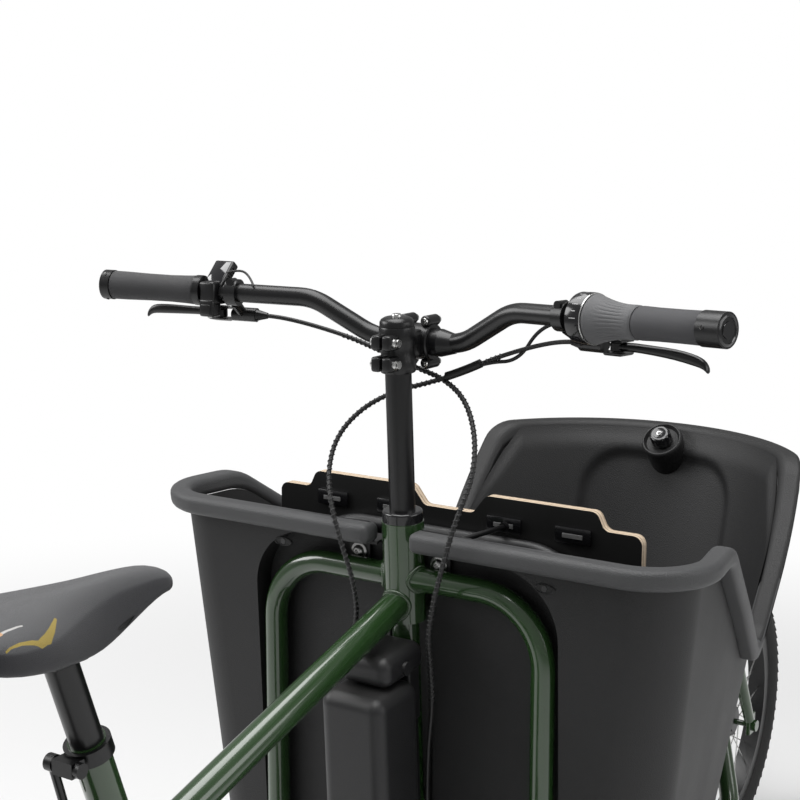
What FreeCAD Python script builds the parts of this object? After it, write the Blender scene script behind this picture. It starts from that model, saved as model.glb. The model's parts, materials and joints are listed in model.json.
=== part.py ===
import FreeCAD, Part
import os
from math import acos, atan2, cos, pi, radians, sin, tan

# Front-box electric cargo bicycle, millimetres.
# X points forward, Y to the rider's left, Z up.  The ground is Z = 0 and the origin is the
# centre of the footprint on the ground.  Lengths called "ahead" are measured forward from
# the steering column at bar height, and heights from the ground.

Vec = FreeCAD.Vector
X_AXIS, Y_AXIS, Z_AXIS = Vec(1, 0, 0), Vec(0, 1, 0), Vec(0, 0, 1)

# ---------------------------------------------------------------- driving dimensions
WHEELBASE = 1866.0
COLUMN_AHEAD_OF_REAR_AXLE = 806.0
REAR_TYRE_R, FRONT_TYRE_R, TYRE_W = 335.0, 253.0, 50.0
GUARD_GAP, GUARD_WALL, GUARD_W = 14.0, 3.0, 62.0
FRONT_DISC_Y, FRONT_DISC_R, REAR_DISC_Y, REAR_DISC_R = 36.0, 80.0, 47.0, 90.0

STEM_Z = 1080.0            # height of the steering axis reference point, in the stem
COLUMN_RAKE = 3.1          # degrees, the column leans back at the top
COLUMN_R, COLUMN_WALL, SHAFT_R = 15.0, 2.5, 11.0
COLUMN_TOP, HEADSET_TOP, HEAD_TUBE_TOP, HEAD_TUBE_END = 4.0, 219.0, 232.0, 350.0
HEAD_TUBE_R, HOUSING_R, HOUSING_BORE_R = 24.5, 16.0, 13.5
LOWER_HEAD_TOP, LOWER_HEAD_END, LOWER_HEAD_R = 770.0, 838.0, 22.0
BEARING_CLEAR = 0.05

BAR_WIDTH, BAR_AHEAD, BAR_DROP, BAR_RISE, BAR_BACK = 800.0, 45.0, 28.0, 50.0, 85.0
BAR_R, BAR_CLAMP_R, BAR_FLAT, BAR_TAPER = 11.1, 15.9, 32.0, 18.0
BAR_BEND_IN, BAR_BEND_OUT, BAR_BEND_BACK, BAR_BEND_UP = 58.0, 132.7, 19.8, 43.4
GRIP_LEFT_END, GRIP_RIGHT_END, TWIST_END, GRIP_R = 124.0, 104.0, 160.0, 16.5
END_CAP_LEFT, END_CAP_RIGHT, GRIP_RING, SHIFTER_W = 12.0, 26.0, 9.0, 20.0
DISPLAY_AT, BRAKE_CLAMP_LEFT, BRAKE_CLAMP_RIGHT = 149.0, 173.0, 202.0
LEVER_PIVOT_LEFT, LEVER_PIVOT_RIGHT, LEVER_REACH = 143.0, 156.0, 106.0
LEVER_PIN_R, LEVER_PIN_CLEAR = 2.5, 0.2
LEVER_SLOT = 5.8           # half height of the slot a lever turns in
HOSE_R, HOSE_EXIT = 3.6, 62.0
SLIP = 0.3                 # gap between pieces that only lie side by side

MAIN_TUBE_R, DOWN_TUBE_R, MAIN_TUBE_SLOPE, MAIN_TUBE_Z = 17.0, 23.0, 16.0, 756.0
HOOP_R, HOOP_Z, HOOP_HALF, HOOP_BEND, HOOP_AHEAD = 14.0, 782.0, 184.0, 78.0, 12.0
RAIL_Z, RAIL_END_AHEAD, RAIL_BEND = 262.0, 640.0, 40.0

BB_BEHIND, BB_Z, SEAT_ANGLE, SEAT_TUBE_R, SEATPOST_R = 336.0, 290.0, 71.0, 17.5, 15.4
SEAT_TUBE_LEN, SADDLE_Z, SADDLE_BEHIND, SADDLE_LEN = 500.0, 886.0, 388.0, 272.0
RAIL_R = 3.5
CRANK_LEN, CRANK_AXLE_R, DRIVE_HALF, STAY_Y = 170.0, 10.0, 34.0, 69.0
BELT_Y, BELT_W, BELT_T, RING_R, COG_R = 50.0, 12.0, 3.0, 55.0, 27.0

RIM_Z, FLOOR_Z, BOX_WALL = 845.0, 300.0, 5.0
BOX_REAR, BOX_NOSE, BOX_HALF, BOX_NOSE_R = -2.0, 800.0, 345.0, 268.0
FLOOR_REAR, FLOOR_NOSE, FLOOR_HALF, FLOOR_NOSE_R = 22.0, 650.0, 288.0, 200.0
BOX_CORNER_R, LIP_OUT, LIP_IN, LIP_H = 62.0, 22.0, 6.0, 24.0
VALLEY_START, VALLEY_LOW_AHEAD, VALLEY_LOW_Z, NOSE_SHOULDER, NOSE_Z = 130.0, 488.0, 600.0, 665.0, 832.0
BACKREST_AHEAD, BACKREST_T, BACKREST_TOP, SEAT_Z = 118.0, 12.0, 863.0, 560.0

FORK_ANGLE, FORK_OFFSET, FORK_BLADE_Y, FRONT_HEAD_LEN = 72.0, 45.0, 56.0, 105.0
CROWN_RISE, STEER_ARM, ROD_LEVEL_AHEAD, ROD_R, ROD_PIN_R = 30.0, 46.0, 690.0, 6.4, 4.0
OPEN_EYE_CLEAR = 7.0       # room round the stud, for the rise and fall of the rod as the fork turns

STAND_AHEAD, STAND_Z, STAND_HALF, STAND_LEG_R = 150.0, 234.0, 150.0, 11.0
SPOKES = 32
KNOB_TILT = 47.0
EYELET_R = 2.6             # M5 bolt holes in the rear dropouts for a rack or guard stay

# ---------------------------------------------------------------- places worked out from them
REAR_OUT = REAR_TYRE_R + GUARD_GAP + GUARD_WALL
REAR_X = -(REAR_OUT + WHEELBASE + FRONT_TYRE_R) / 2 + REAR_OUT
FRONT_X = REAR_X + WHEELBASE
COL_X = REAR_X + COLUMN_AHEAD_OF_REAR_AXLE
RAKE = radians(COLUMN_RAKE)
DOWN = Vec(sin(RAKE), 0, -cos(RAKE))          # down the steering column
COL_TOP = Vec(COL_X, 0, STEM_Z)
BB = Vec(COL_X - BB_BEHIND, 0, BB_Z)
REAR_AXLE = Vec(REAR_X, 0, REAR_TYRE_R)
FRONT_AXLE = Vec(FRONT_X, 0, FRONT_TYRE_R)
FORK_UP = Vec(-cos(radians(FORK_ANGLE)), 0, sin(radians(FORK_ANGLE)))
FORK_FOOT = FRONT_AXLE - X_AXIS * (FORK_OFFSET / sin(radians(FORK_ANGLE)))
SEAT_UP = Vec(-cos(radians(SEAT_ANGLE)), 0, sin(radians(SEAT_ANGLE)))
CROWN_T = (FRONT_TYRE_R + CROWN_RISE) / sin(radians(FORK_ANGLE))


def ahead(x, y, z):
    """A point given by its distance ahead of the column top."""
    return Vec(COL_X + x, y, z)


def on_column(d):
    return COL_TOP + DOWN * d


def on_fork(t):
    return FORK_FOOT + FORK_UP * t


def on_seat_tube(t):
    return BB + SEAT_UP * t


# ---------------------------------------------------------------- shape helpers
def rod(p, q, r):
    return Part.makeCylinder(r, (q - p).Length, p, q - p)


def pipe(p, q, r_out, r_in):
    return rod(p, q, r_out).cut(rod(p, q, r_in))


def cone(p, q, r1, r2):
    return Part.makeCone(r1, r2, (q - p).Length, p, q - p)


def block(low, high, round_r=0.0):
    shape = Part.makeBox(high.x - low.x, high.y - low.y, high.z - low.z, low)
    return shape.makeFillet(round_r, shape.Edges) if round_r else shape


def fuse(shapes):
    shapes = list(shapes)
    return shapes[0].multiFuse(shapes[1:]).removeSplitter()


def group(shapes):
    return Part.makeCompound(list(shapes))


def mirror(shape):
    """The same piece on the other side of the bicycle."""
    return shape.mirror(Vec(0, 0, 0), Y_AXIS)


def bent_path(points, radii):
    """Straight runs joined by tangent arcs, as a wire."""
    edges, here = [], points[0]
    for before, corner, after, radius in zip(points, points[1:], points[2:], radii):
        run_in, run_out = (corner - before).normalize(), (after - corner).normalize()
        turn = run_in.getAngle(run_out)
        reach = radius * tan(turn / 2)
        start, end = corner - run_in * reach, corner + run_out * reach
        inward = (run_out - run_in).normalize()
        middle = corner + inward * (radius / cos(turn / 2) - radius)
        if (start - here).Length > 0.01:
            edges.append(Part.LineSegment(here, start).toShape())
        edges.append(Part.Arc(start, middle, end).toShape())
        here = end
    edges.append(Part.LineSegment(here, points[-1]).toShape())
    return Part.Wire(edges)


def bent_tube(points, radius, bend):
    """A round bar along straight runs with tangent arcs of one bend radius, or a list of them."""
    radii = bend if isinstance(bend, list) else [bend] * (len(points) - 2)
    path = bent_path(points, radii)
    section = Part.Wire([Part.makeCircle(radius, points[0], points[1] - points[0])])
    return path.makePipeShell([section], True, False)


def hose(name, points, radius):
    """A hose along its whole route; each arc is as large as its two runs allow."""
    radii = []
    for before, corner, after in zip(points, points[1:], points[2:]):
        turn = (corner - before).getAngle(after - corner)
        shorter = min((corner - before).Length, (after - corner).Length)
        radii.append(0.45 * shorter / tan(turn / 2))
    shape = bent_tube(points, radius, radii)
    length = bent_path(points, radii).Length
    print(name, "radii", [round(r) for r in radii], "length", round(length),
          "volume ratio", round(shape.Volume / (pi * radius ** 2 * length), 3))
    return shape


def ring(centre, axis, r_out, r_in, width):
    half = axis * (width / 2)
    return pipe(centre - half, centre + half, r_out, r_in)


def oval_loft(sections):
    """A smooth solid through (centre, half width, half height) ovals that stand across X."""
    wires = []
    for centre, half_w, half_h in sections:
        big, small = (half_w, half_h) if half_w >= half_h else (half_h, half_w)
        long_axis = Y_AXIS if half_w >= half_h else Z_AXIS
        ellipse = Part.Ellipse(centre + long_axis * big, centre + X_AXIS.cross(long_axis) * small, centre)
        wires.append(Part.Wire([ellipse.toShape()]))
    return Part.makeLoft(wires, True, False)


def wheel_arc(centre, r_in, r_out, half_w, from_deg, to_deg):
    """A mudguard band round a wheel, angles from the front over the top."""
    band = Part.makeCylinder(r_out, 2 * half_w, centre - Y_AXIS * half_w, Y_AXIS)
    band = band.cut(Part.makeCylinder(r_in, 2 * half_w, centre - Y_AXIS * half_w, Y_AXIS))
    reach = 2 * r_out
    count = 6
    fan = [centre - Y_AXIS * half_w]
    for i in range(count + 1):
        a = radians(from_deg + (to_deg - from_deg) * i / count)
        fan.append(fan[0] + Vec(reach * cos(a), 0, reach * sin(a)))
    wedge = Part.Face(Part.makePolygon(fan + fan[:1])).extrude(Y_AXIS * (2 * half_w))
    return band.common(wedge)


nodes = {}

# ---------------------------------------------------------------- welded frame
hoop_x = HOOP_AHEAD
head_tube = pipe(on_column(HEAD_TUBE_TOP), on_column(HEAD_TUBE_END), HEAD_TUBE_R, COLUMN_R + 5)
housing = pipe(on_column(HEAD_TUBE_END), on_column(LOWER_HEAD_TOP), HOUSING_R, HOUSING_BORE_R)
lower_seat = on_column(LOWER_HEAD_END - 14)
lower_head = pipe(on_column(LOWER_HEAD_TOP), lower_seat, LOWER_HEAD_R, HOUSING_BORE_R).fuse(
    pipe(lower_seat, on_column(LOWER_HEAD_END), LOWER_HEAD_R, HOUSING_R))
steerer_space = rod(on_column(0), on_column(LOWER_HEAD_END + 30), HEAD_TUBE_R)
nodes["head_tube"] = head_tube
nodes["column_housing"] = housing.fuse(lower_head)

slope = radians(MAIN_TUBE_SLOPE)
main_front = ahead(HOOP_AHEAD, 0, MAIN_TUBE_Z)
seat_rise = sin(radians(SEAT_ANGLE)) + tan(slope) * cos(radians(SEAT_ANGLE))
seat_meet = (main_front.z - BB.z - tan(slope) * (main_front.x - BB.x)) / seat_rise
main_rear = on_seat_tube(seat_meet)
seat_space = rod(BB, on_seat_tube(SEAT_TUBE_LEN), SEAT_TUBE_R)
nodes["main_tube"] = rod(main_rear, main_front, MAIN_TUBE_R).cut(steerer_space).cut(seat_space)

motor_front, motor_rear, motor_top, motor_low = 112.0, 62.0, 84.0, 56.0
motor_round = 22.0
drive_unit = block(BB + Vec(-motor_rear, -DRIVE_HALF, -motor_low),
                   BB + Vec(motor_front, DRIVE_HALF, motor_top), motor_round)
crank_hole = rod(BB - Y_AXIS * 60, BB + Y_AXIS * 60, CRANK_AXLE_R + BEARING_CLEAR)
nodes["drive_unit"] = drive_unit.cut(crank_hole)

down_front = on_column((LOWER_HEAD_TOP + LOWER_HEAD_END) / 2)
down_tube = rod(BB + Vec(motor_front - 30, 0, 0), down_front, DOWN_TUBE_R).cut(drive_unit)
cross_z = down_front.z
cross_tube = rod(Vec(down_front.x, -HOOP_HALF, cross_z), Vec(down_front.x, HOOP_HALF, cross_z), 15)
bar_half, bar_deep = HOOP_HALF + 20, 34.0
bars = [block(ahead(x, -bar_half, RAIL_Z + HOOP_R), ahead(x + bar_deep, bar_half, FLOOR_Z - SLIP))
        for x in (110.0, 340.0, 570.0)]
STAND = ahead(STAND_AHEAD, 0, STAND_Z)
ears = []
for side in (-1, 1):
    y = side * (STAND_HALF + 34) - 4
    ears.append(block(STAND + Vec(-16, y, 0), STAND + Vec(16, y + 8, RAIL_Z - STAND_Z - HOOP_R + 4)))
    ears.append(rod(STAND + Y_AXIS * y, STAND + Y_AXIS * (y + 8), 16))
stand_pin_hole = rod(STAND - Y_AXIS * 300, STAND + Y_AXIS * 300, 8 + BEARING_CLEAR)

# One bar makes each half of the hoop, its leg and its cargo rail; the two rails meet the front head tube.
front_head_low, front_head_top = CROWN_T + 26, CROWN_T + 26 + FRONT_HEAD_LEN
rail_tip = on_fork((front_head_low + front_head_top) / 2 + 36)
hoop_points = [ahead(hoop_x, 0, HOOP_Z), ahead(hoop_x, HOOP_HALF, HOOP_Z),
               ahead(hoop_x, HOOP_HALF, RAIL_Z), ahead(RAIL_END_AHEAD, HOOP_HALF, RAIL_Z), rail_tip]
half_hoop = bent_tube(hoop_points, HOOP_R, [HOOP_BEND, RAIL_BEND, 110.0])
front_head_space = rod(on_fork(front_head_low - 5), on_fork(front_head_top + 5), 22)
half_hoop = half_hoop.cut(steerer_space).cut(front_head_space)
hoop = group([half_hoop]).fuse(mirror(half_hoop))
lower_bits = fuse([down_tube, cross_tube] + bars + ears).cut(stand_pin_hole)
lower_bits = lower_bits.cut(rod(on_column(700), on_column(900), LOWER_HEAD_R))
nodes["cargo_hoop"] = hoop.cut(cross_tube).cut(steerer_space)
nodes["lower_frame"] = lower_bits.cut(hoop)
nodes["front_head_tube"] = pipe(on_fork(front_head_low), on_fork(front_head_top), 22, 19)

nodes["seat_tube"] = pipe(on_seat_tube(motor_top - 6), on_seat_tube(SEAT_TUBE_LEN), SEAT_TUBE_R,
                          SEATPOST_R + BEARING_CLEAR).cut(drive_unit)
stays = []
drop = REAR_AXLE
for side in (-1, 1):
    out = Y_AXIS * side
    chain_stay = rod(BB + Vec(-motor_rear + 8, side * 24, 4), drop + Vec(22, side * STAY_Y, 4), 9)
    seat_stay = rod(main_rear + out * 16 + SEAT_UP * 14, drop + Vec(6, side * STAY_Y, 16), 8)
    plate = block(drop + Vec(-16, side * STAY_Y - 4, -20), drop + Vec(34, side * STAY_Y + 4, 26))
    stays += [chain_stay, seat_stay, plate]
stays.append(rod(BB + Vec(-80, -30, 8), BB + Vec(-80, 30, 8), 7))
axle_hole = rod(drop - Y_AXIS * 100, drop + Y_AXIS * 100, 5)
EYELET = drop + Vec(26, 0, 18)
eyelet_hole = rod(EYELET - Y_AXIS * 100, EYELET + Y_AXIS * 100, EYELET_R)
rear_stays = fuse(stays).cut(axle_hole).cut(drive_unit).cut(seat_space).cut(nodes["main_tube"])
nodes["rear_stays"] = rear_stays.cut(eyelet_hole)
rear_nuts = [rod(drop + Y_AXIS * (s * (STAY_Y + 4)), drop + Y_AXIS * (s * 80), 10) for s in (-1, 1)]
nodes["rear_axle"] = fuse([rod(drop - Y_AXIS * 80, drop + Y_AXIS * 80, 5)] + rear_nuts)

# Bearings: rings that hold the column, the lower shaft and the fork steerer.
column_bore, shaft_bore = COLUMN_R + BEARING_CLEAR, SHAFT_R + BEARING_CLEAR
bearings = [pipe(on_column(HEADSET_TOP), on_column(HEAD_TUBE_TOP), HEAD_TUBE_R - 1, column_bore),
            pipe(on_column(HEAD_TUBE_TOP), on_column(HEAD_TUBE_TOP + 14), COLUMN_R + 5, column_bore),
            pipe(on_column(LOWER_HEAD_END - 14), on_column(LOWER_HEAD_END), HOUSING_R, shaft_bore)]
for t in (front_head_low, front_head_top - 12):
    bearings.append(pipe(on_fork(t), on_fork(t + 12), 19, 14 + BEARING_CLEAR))
top_edges = [e for e in bearings[0].Edges
             if e.Curve.TypeId == "Part::GeomCircle"
             and abs(e.Curve.Radius - HEAD_TUBE_R + 1) < 0.1
             and (e.CenterOfMass - on_column(HEADSET_TOP)).Length < 3]
bearings[0] = bearings[0].makeFillet(3, top_edges)
nodes["headset_bearings"] = group([bearings[0].fuse(bearings[1])] + bearings[2:])

collar_t = SEAT_TUBE_LEN - 16
collar = pipe(on_seat_tube(collar_t), on_seat_tube(SEAT_TUBE_LEN - 1), SEAT_TUBE_R + 4, SEAT_TUBE_R)
QR_BEHIND = 28.0
SEAT_BACK = Vec(-sin(radians(SEAT_ANGLE)), 0, -cos(radians(SEAT_ANGLE)))
QR = on_seat_tube(SEAT_TUBE_LEN - 8) + SEAT_BACK * QR_BEHIND
collar = collar.fuse(block(QR + Vec(-7, -12, -7), QR + Vec(9, 12, 7))).cut(seat_space)
collar = collar.cut(rod(QR - Y_AXIS * 30, QR + Y_AXIS * 30, 3 + BEARING_CLEAR))
nodes["seat_collar"] = collar

guard_in = REAR_TYRE_R + GUARD_GAP
nodes["rear_guard"] = wheel_arc(REAR_AXLE, guard_in, REAR_OUT, GUARD_W / 2, 25, 196).cut(rear_stays)


def caliper(axle, disc_y, disc_r, lean):
    """Brake caliper that straddles the rim of a disc, leaning back from upright by an angle."""
    inner, outer, bridge = disc_r - 26, disc_r + 16, disc_r + 4
    halves = [block(Vec(-20, disc_y + 3, inner), Vec(20, disc_y + 19, outer), 3),
              block(Vec(-20, disc_y - 10, inner), Vec(20, disc_y - 3, outer), 2),
              block(Vec(-20, disc_y - 10, bridge), Vec(20, disc_y + 19, outer), 3)]
    shape = fuse(halves)
    shape.Placement = FreeCAD.Placement(axle, FreeCAD.Rotation(Y_AXIS, -lean))
    return shape


nodes["rear_caliper"] = caliper(REAR_AXLE, REAR_DISC_Y, REAR_DISC_R, 20)

# ---------------------------------------------------------------- cargo box


def box_outline(rear, nose, half, nose_r, corner_r, z):
    """Closed outline of the box in plan: flat back, two rear corners, straight sides and a round nose."""
    corner = Vec(rear + corner_r, half - corner_r, 0)
    centre = Vec(nose - nose_r, 0, 0)
    gap = centre - corner
    along = atan2(gap.y, gap.x)
    normal = along + acos((corner_r - nose_r) / gap.Length)
    out = Vec(cos(normal), sin(normal), 0)
    mid = Vec(cos((normal + pi) / 2), sin((normal + pi) / 2), 0)
    points = [Vec(rear, 0, 0), Vec(rear, corner.y, 0), corner + mid * corner_r, corner + out * corner_r,
              centre + out * nose_r, centre + Vec(cos(normal / 2), sin(normal / 2), 0) * nose_r,
              Vec(nose, 0, 0)]
    left = [ahead(p.x, p.y, z) for p in points]
    right = [Vec(p.x, -p.y, p.z) for p in left]
    return Part.Wire([Part.LineSegment(right[1], left[1]).toShape(),
                      Part.Arc(left[1], left[2], left[3]).toShape(),
                      Part.LineSegment(left[3], left[4]).toShape(),
                      Part.Arc(left[4], left[6], right[4]).toShape(),
                      Part.LineSegment(right[4], right[3]).toShape(),
                      Part.Arc(right[3], right[2], right[1]).toShape()])


def tub_solid(grow, z_low):
    """The box's outer form, grown outwards (or shrunk) by one distance, from z_low to above the rim."""
    top_z = RIM_Z + 20
    wires = []
    for z in (z_low, top_z):
        s = (z - FLOOR_Z) / (RIM_Z - FLOOR_Z)
        wires.append(box_outline(FLOOR_REAR + (BOX_REAR - FLOOR_REAR) * s - grow,
                                 FLOOR_NOSE + (BOX_NOSE - FLOOR_NOSE) * s + grow,
                                 FLOOR_HALF + (BOX_HALF - FLOOR_HALF) * s + grow,
                                 FLOOR_NOSE_R + (BOX_NOSE_R - FLOOR_NOSE_R) * s + grow,
                                 BOX_CORNER_R + grow, z))
    return Part.makeLoft(wires, True, True)


def side_profile(drop):
    """Solid below the box's top edge seen from the side: level back, a deep valley, a raised nose."""
    z = -drop
    tops = [ahead(-60, 0, RIM_Z + z), ahead(VALLEY_START, 0, RIM_Z + z),
            ahead(VALLEY_LOW_AHEAD, 0, VALLEY_LOW_Z + z), ahead(NOSE_SHOULDER, 0, NOSE_Z + z),
            ahead(BOX_NOSE + 60, 0, NOSE_Z + z)]
    path = bent_path(tops, [70.0, 40.0, 60.0])
    closing = Part.makePolygon([tops[-1], ahead(BOX_NOSE + 60, 0, 100), ahead(-60, 0, 100), tops[0]])
    face = Part.Face(Part.Wire(path.Edges + closing.Edges))
    face.translate(Vec(0, -500, 0))
    return face.extrude(Y_AXIS * 1000)


def hoop_pocket(grow):
    """The recess in the back wall that takes the hoop and the head tube."""
    half, top = HOOP_HALF + HOOP_R + 8 + grow, HOOP_Z + HOOP_R + 22 + grow
    front = HOOP_AHEAD + HOOP_R + 4 + grow
    hollow = block(ahead(-80, -half, FLOOR_Z - 40), ahead(front, half, top))
    corners = [e for e in hollow.Edges
               if e.Curve.Direction.isParallel(X_AXIS, 0.01) and e.CenterOfMass.z > HOOP_Z]
    hollow = hollow.makeFillet(HOOP_BEND, corners)
    head = rod(on_column(100), on_column(STEM_Z), HEAD_TUBE_R + 6 + grow)
    return hollow.fuse(head)


profile = side_profile(0)
outer = tub_solid(0, FLOOR_Z).cut(hoop_pocket(0))
inner = tub_solid(-BOX_WALL, FLOOR_Z + BOX_WALL).cut(hoop_pocket(BOX_WALL))
lip_band = profile.cut(side_profile(LIP_H))
tub = outer.cut(inner).common(side_profile(LIP_H))
KNOB_BACK, KNOB_DOWN, KNOB_STEM_R = 40.0, 22.0, 6.0
KNOB = ahead(BOX_NOSE - KNOB_BACK, 0, NOSE_Z - KNOB_DOWN)
KNOB_OUT = Vec(-cos(radians(KNOB_TILT)), 0, sin(radians(KNOB_TILT)))
boss = rod(KNOB - KNOB_OUT * 90, KNOB, 30).common(tub_solid(-1, FLOOR_Z))
boss = boss.common(side_profile(LIP_H))
knob_hole = rod(KNOB - KNOB_OUT * 26, KNOB + KNOB_OUT * 20, KNOB_STEM_R + BEARING_CLEAR)
nodes["box_tub"] = tub.fuse(boss).cut(knob_hole)
lip = tub_solid(LIP_OUT, FLOOR_Z).cut(tub_solid(-LIP_IN, FLOOR_Z - 1)).common(lip_band)
notch = block(ahead(-60, -HEAD_TUBE_R - 3, RIM_Z - 60), ahead(60, HEAD_TUBE_R + 3, RIM_Z + 40))
lip = lip.cut(notch).cut(hoop_pocket(0))
nodes["box_lip"] = lip.cut(boss)
nodes["knob"] = rod(KNOB - KNOB_OUT * 24, KNOB + KNOB_OUT * 8, KNOB_STEM_R).fuse(
    cone(KNOB + KNOB_OUT * 4, KNOB + KNOB_OUT * 24, 21, 18))

# Plates that bolt the box to the hoop, each side of the head tube, and their bolts.
plate_x = HOOP_AHEAD + HOOP_R + 4
plates, bolts = [], []
for y in (-42.0, 68.0):
    plates.append(block(ahead(plate_x - 3.5, y - 15, HOOP_Z - 8),
                        ahead(plate_x - 0.5, y + 15, HOOP_Z + HOOP_R + 20)))
    at = ahead(plate_x - 3.5, y, HOOP_Z + HOOP_R + 3)
    bolts.append(rod(at, at - X_AXIS * 4, 8.5).fuse(rod(at - X_AXIS * 4, at - X_AXIS * 8, 6.5)))
nodes["box_fixings"] = group([piece.cut(hoop) for piece in plates + bolts])

# Bench: a bent steel loop stands on the floor behind the backrest; the seat board hinges on it.
loop_x, loop_half, loop_r = BACKREST_AHEAD - 16, 200.0, 9.0
loop_z = BACKREST_TOP - 52
BENCH_PIVOT = ahead(loop_x + 30, 0, SEAT_Z - 6)
loop_bend, floor_top = 85.0, FLOOR_Z + BOX_WALL
loop = bent_tube([ahead(loop_x, -loop_half, floor_top), ahead(loop_x, -loop_half, loop_z),
                  ahead(loop_x, loop_half, loop_z), ahead(loop_x, loop_half, floor_top)], loop_r, loop_bend)
feet = [block(ahead(loop_x - 22, s * loop_half - 20, floor_top),
              ahead(loop_x + 22, s * loop_half + 20, floor_top + 4)) for s in (-1, 1)]
arm_half = loop_half - 4
arms = [block(ahead(loop_x, s * arm_half - 3, SEAT_Z - 22),
              ahead(loop_x + 38, s * arm_half + 3, SEAT_Z + 6)) for s in (-1, 1)]
hinge_hole = rod(BENCH_PIVOT - Y_AXIS * 260, BENCH_PIVOT + Y_AXIS * 260, 4 + BEARING_CLEAR)
nodes["bench_loop"] = fuse([loop] + feet + arms).cut(hinge_hole)
back_half, shoulder_half, dip_half, shoulder, dip = 252.0, 206.0, 34.0, 21.0, 23.0
board_x = BACKREST_AHEAD - BACKREST_T / 2 + 2
outline = [(-back_half, SEAT_Z + 30), (-back_half, BACKREST_TOP - shoulder),
           (-shoulder_half, BACKREST_TOP - shoulder), (-shoulder_half + 10, BACKREST_TOP),
           (-dip_half - 18, BACKREST_TOP), (-dip_half, BACKREST_TOP - dip)]
outline += [(-y, z) for y, z in reversed(outline)]
board_edge = Part.makePolygon([ahead(board_x, y, z) for y, z in outline + outline[:1]])
board = Part.Face(board_edge).extrude(X_AXIS * BACKREST_T)
board_round = 11.0
tops = [e for e in board.Edges
        if e.Curve.Direction.isParallel(X_AXIS, 0.01) and e.CenterOfMass.z > BACKREST_TOP - 60]
board = board.makeFillet(board_round, tops)
brackets = []
for y in (-168.0, -78.0, 78.0, 168.0):
    slot = block(ahead(board_x - 10, y - 15, BACKREST_TOP - 34),
                 ahead(board_x + 20, y + 15, BACKREST_TOP - 28))
    board = board.cut(slot)
    frame_plate = block(ahead(board_x - 3, y - 25, BACKREST_TOP - 42),
                        ahead(board_x - SLIP, y + 25, BACKREST_TOP - 20))
    brackets.append(frame_plate.cut(slot))
nodes["backrest"] = board.cut(loop)
nodes["belt_brackets"] = group(brackets)
bench = block(BENCH_PIVOT + Vec(3, -loop_half + 12, -4), BENCH_PIVOT + Vec(268, loop_half - 12, 8))
bench = bench.makeFillet(30, [e for e in bench.Edges if e.Curve.Direction.isParallel(Z_AXIS, 0.01)
                              and e.CenterOfMass.x > BENCH_PIVOT.x + 200])
knuckle = rod(BENCH_PIVOT - Y_AXIS * (loop_half - 12), BENCH_PIVOT + Y_AXIS * (loop_half - 12), 8)
pin = rod(BENCH_PIVOT - Y_AXIS * (loop_half + 4), BENCH_PIVOT + Y_AXIS * (loop_half + 4), 4)
nodes["bench_seat"] = fuse([bench, knuckle, pin])

# ---------------------------------------------------------------- steering column and handlebar
column = pipe(on_column(COLUMN_TOP), on_column(HEAD_TUBE_END - 22), COLUMN_R, COLUMN_R - COLUMN_WALL)
shaft = rod(on_column(HEAD_TUBE_END - 40), on_column(LOWER_HEAD_END + 34), SHAFT_R)
plug = rod(on_column(HEAD_TUBE_END - 46), on_column(HEAD_TUBE_END - 22), COLUMN_R)
nodes["column_tube"] = fuse([column, plug, shaft])

BAR = ahead(BAR_AHEAD, 0, STEM_Z - BAR_DROP)
stem_low = on_column(58.0)
stem_boss = rod(on_column(8), stem_low, COLUMN_R + 4.5)
neck = block(Vec(COL_X + 4, -17, BAR.z - 15), Vec(BAR.x - 6, 17, BAR.z + 15), 5)
ears_x = COL_X - COLUMN_R - 6
pinch = block(Vec(ears_x - 8, -14, STEM_Z - 56), Vec(COL_X, 14, STEM_Z - 14), 3)
clamp_ring = rod(BAR - Y_AXIS * 22, BAR + Y_AXIS * 22, BAR_CLAMP_R + 4.5)
bar_hole = rod(BAR - Y_AXIS * 60, BAR + Y_AXIS * 60, BAR_CLAMP_R)
split = block(Vec(BAR.x + 1, -40, BAR.z - 40), Vec(BAR.x + 60, 40, BAR.z + 40))
front_half = block(Vec(BAR.x + 3, -40, BAR.z - 40), Vec(BAR.x + 60, 40, BAR.z + 40))
stem = fuse([stem_boss, neck, pinch, clamp_ring.cut(split)])
bosses, stem_bolts = [], []
for y in (-15.0, 15.0):
    for z in (-24.0, 24.0):
        bosses.append(rod(BAR + Vec(-8, y, z), BAR + Vec(14, y, z), 6))
        stem_bolts.append(rod(BAR + Vec(14, y, z), BAR + Vec(19, y, z), 4.2))
gap = block(Vec(BAR.x + 1, -60, BAR.z - 60), Vec(BAR.x + 3, 60, BAR.z + 60))
face_plate = fuse([clamp_ring.common(front_half)] + [b.common(front_half) for b in bosses])
stem = fuse([stem] + [b.cut(split) for b in bosses])
stem = stem.cut(bar_hole).cut(rod(on_column(0), on_column(80), COLUMN_R))
stem = stem.cut(block(Vec(ears_x - 20, -1, STEM_Z - 70), Vec(COL_X - COLUMN_R + 3, 1, STEM_Z + 10)))
for z in (-22.0, -46.0):
    at = Vec(ears_x - 1, 0, STEM_Z + z)
    stem_bolts += [rod(at + Y_AXIS * (s * 14), at + Y_AXIS * (s * 18), 4.6) for s in (-1, 1)]
cap = cone(on_column(COLUMN_TOP + 4), on_column(-3), COLUMN_R + 3, COLUMN_R - 1)
nodes["stem"] = group([stem, cap.cut(column), face_plate.cut(bar_hole)])
stem_bolts.append(rod(on_column(-3), on_column(-6), 5))
nodes["stem_bolts"] = group(stem_bolts)

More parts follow.
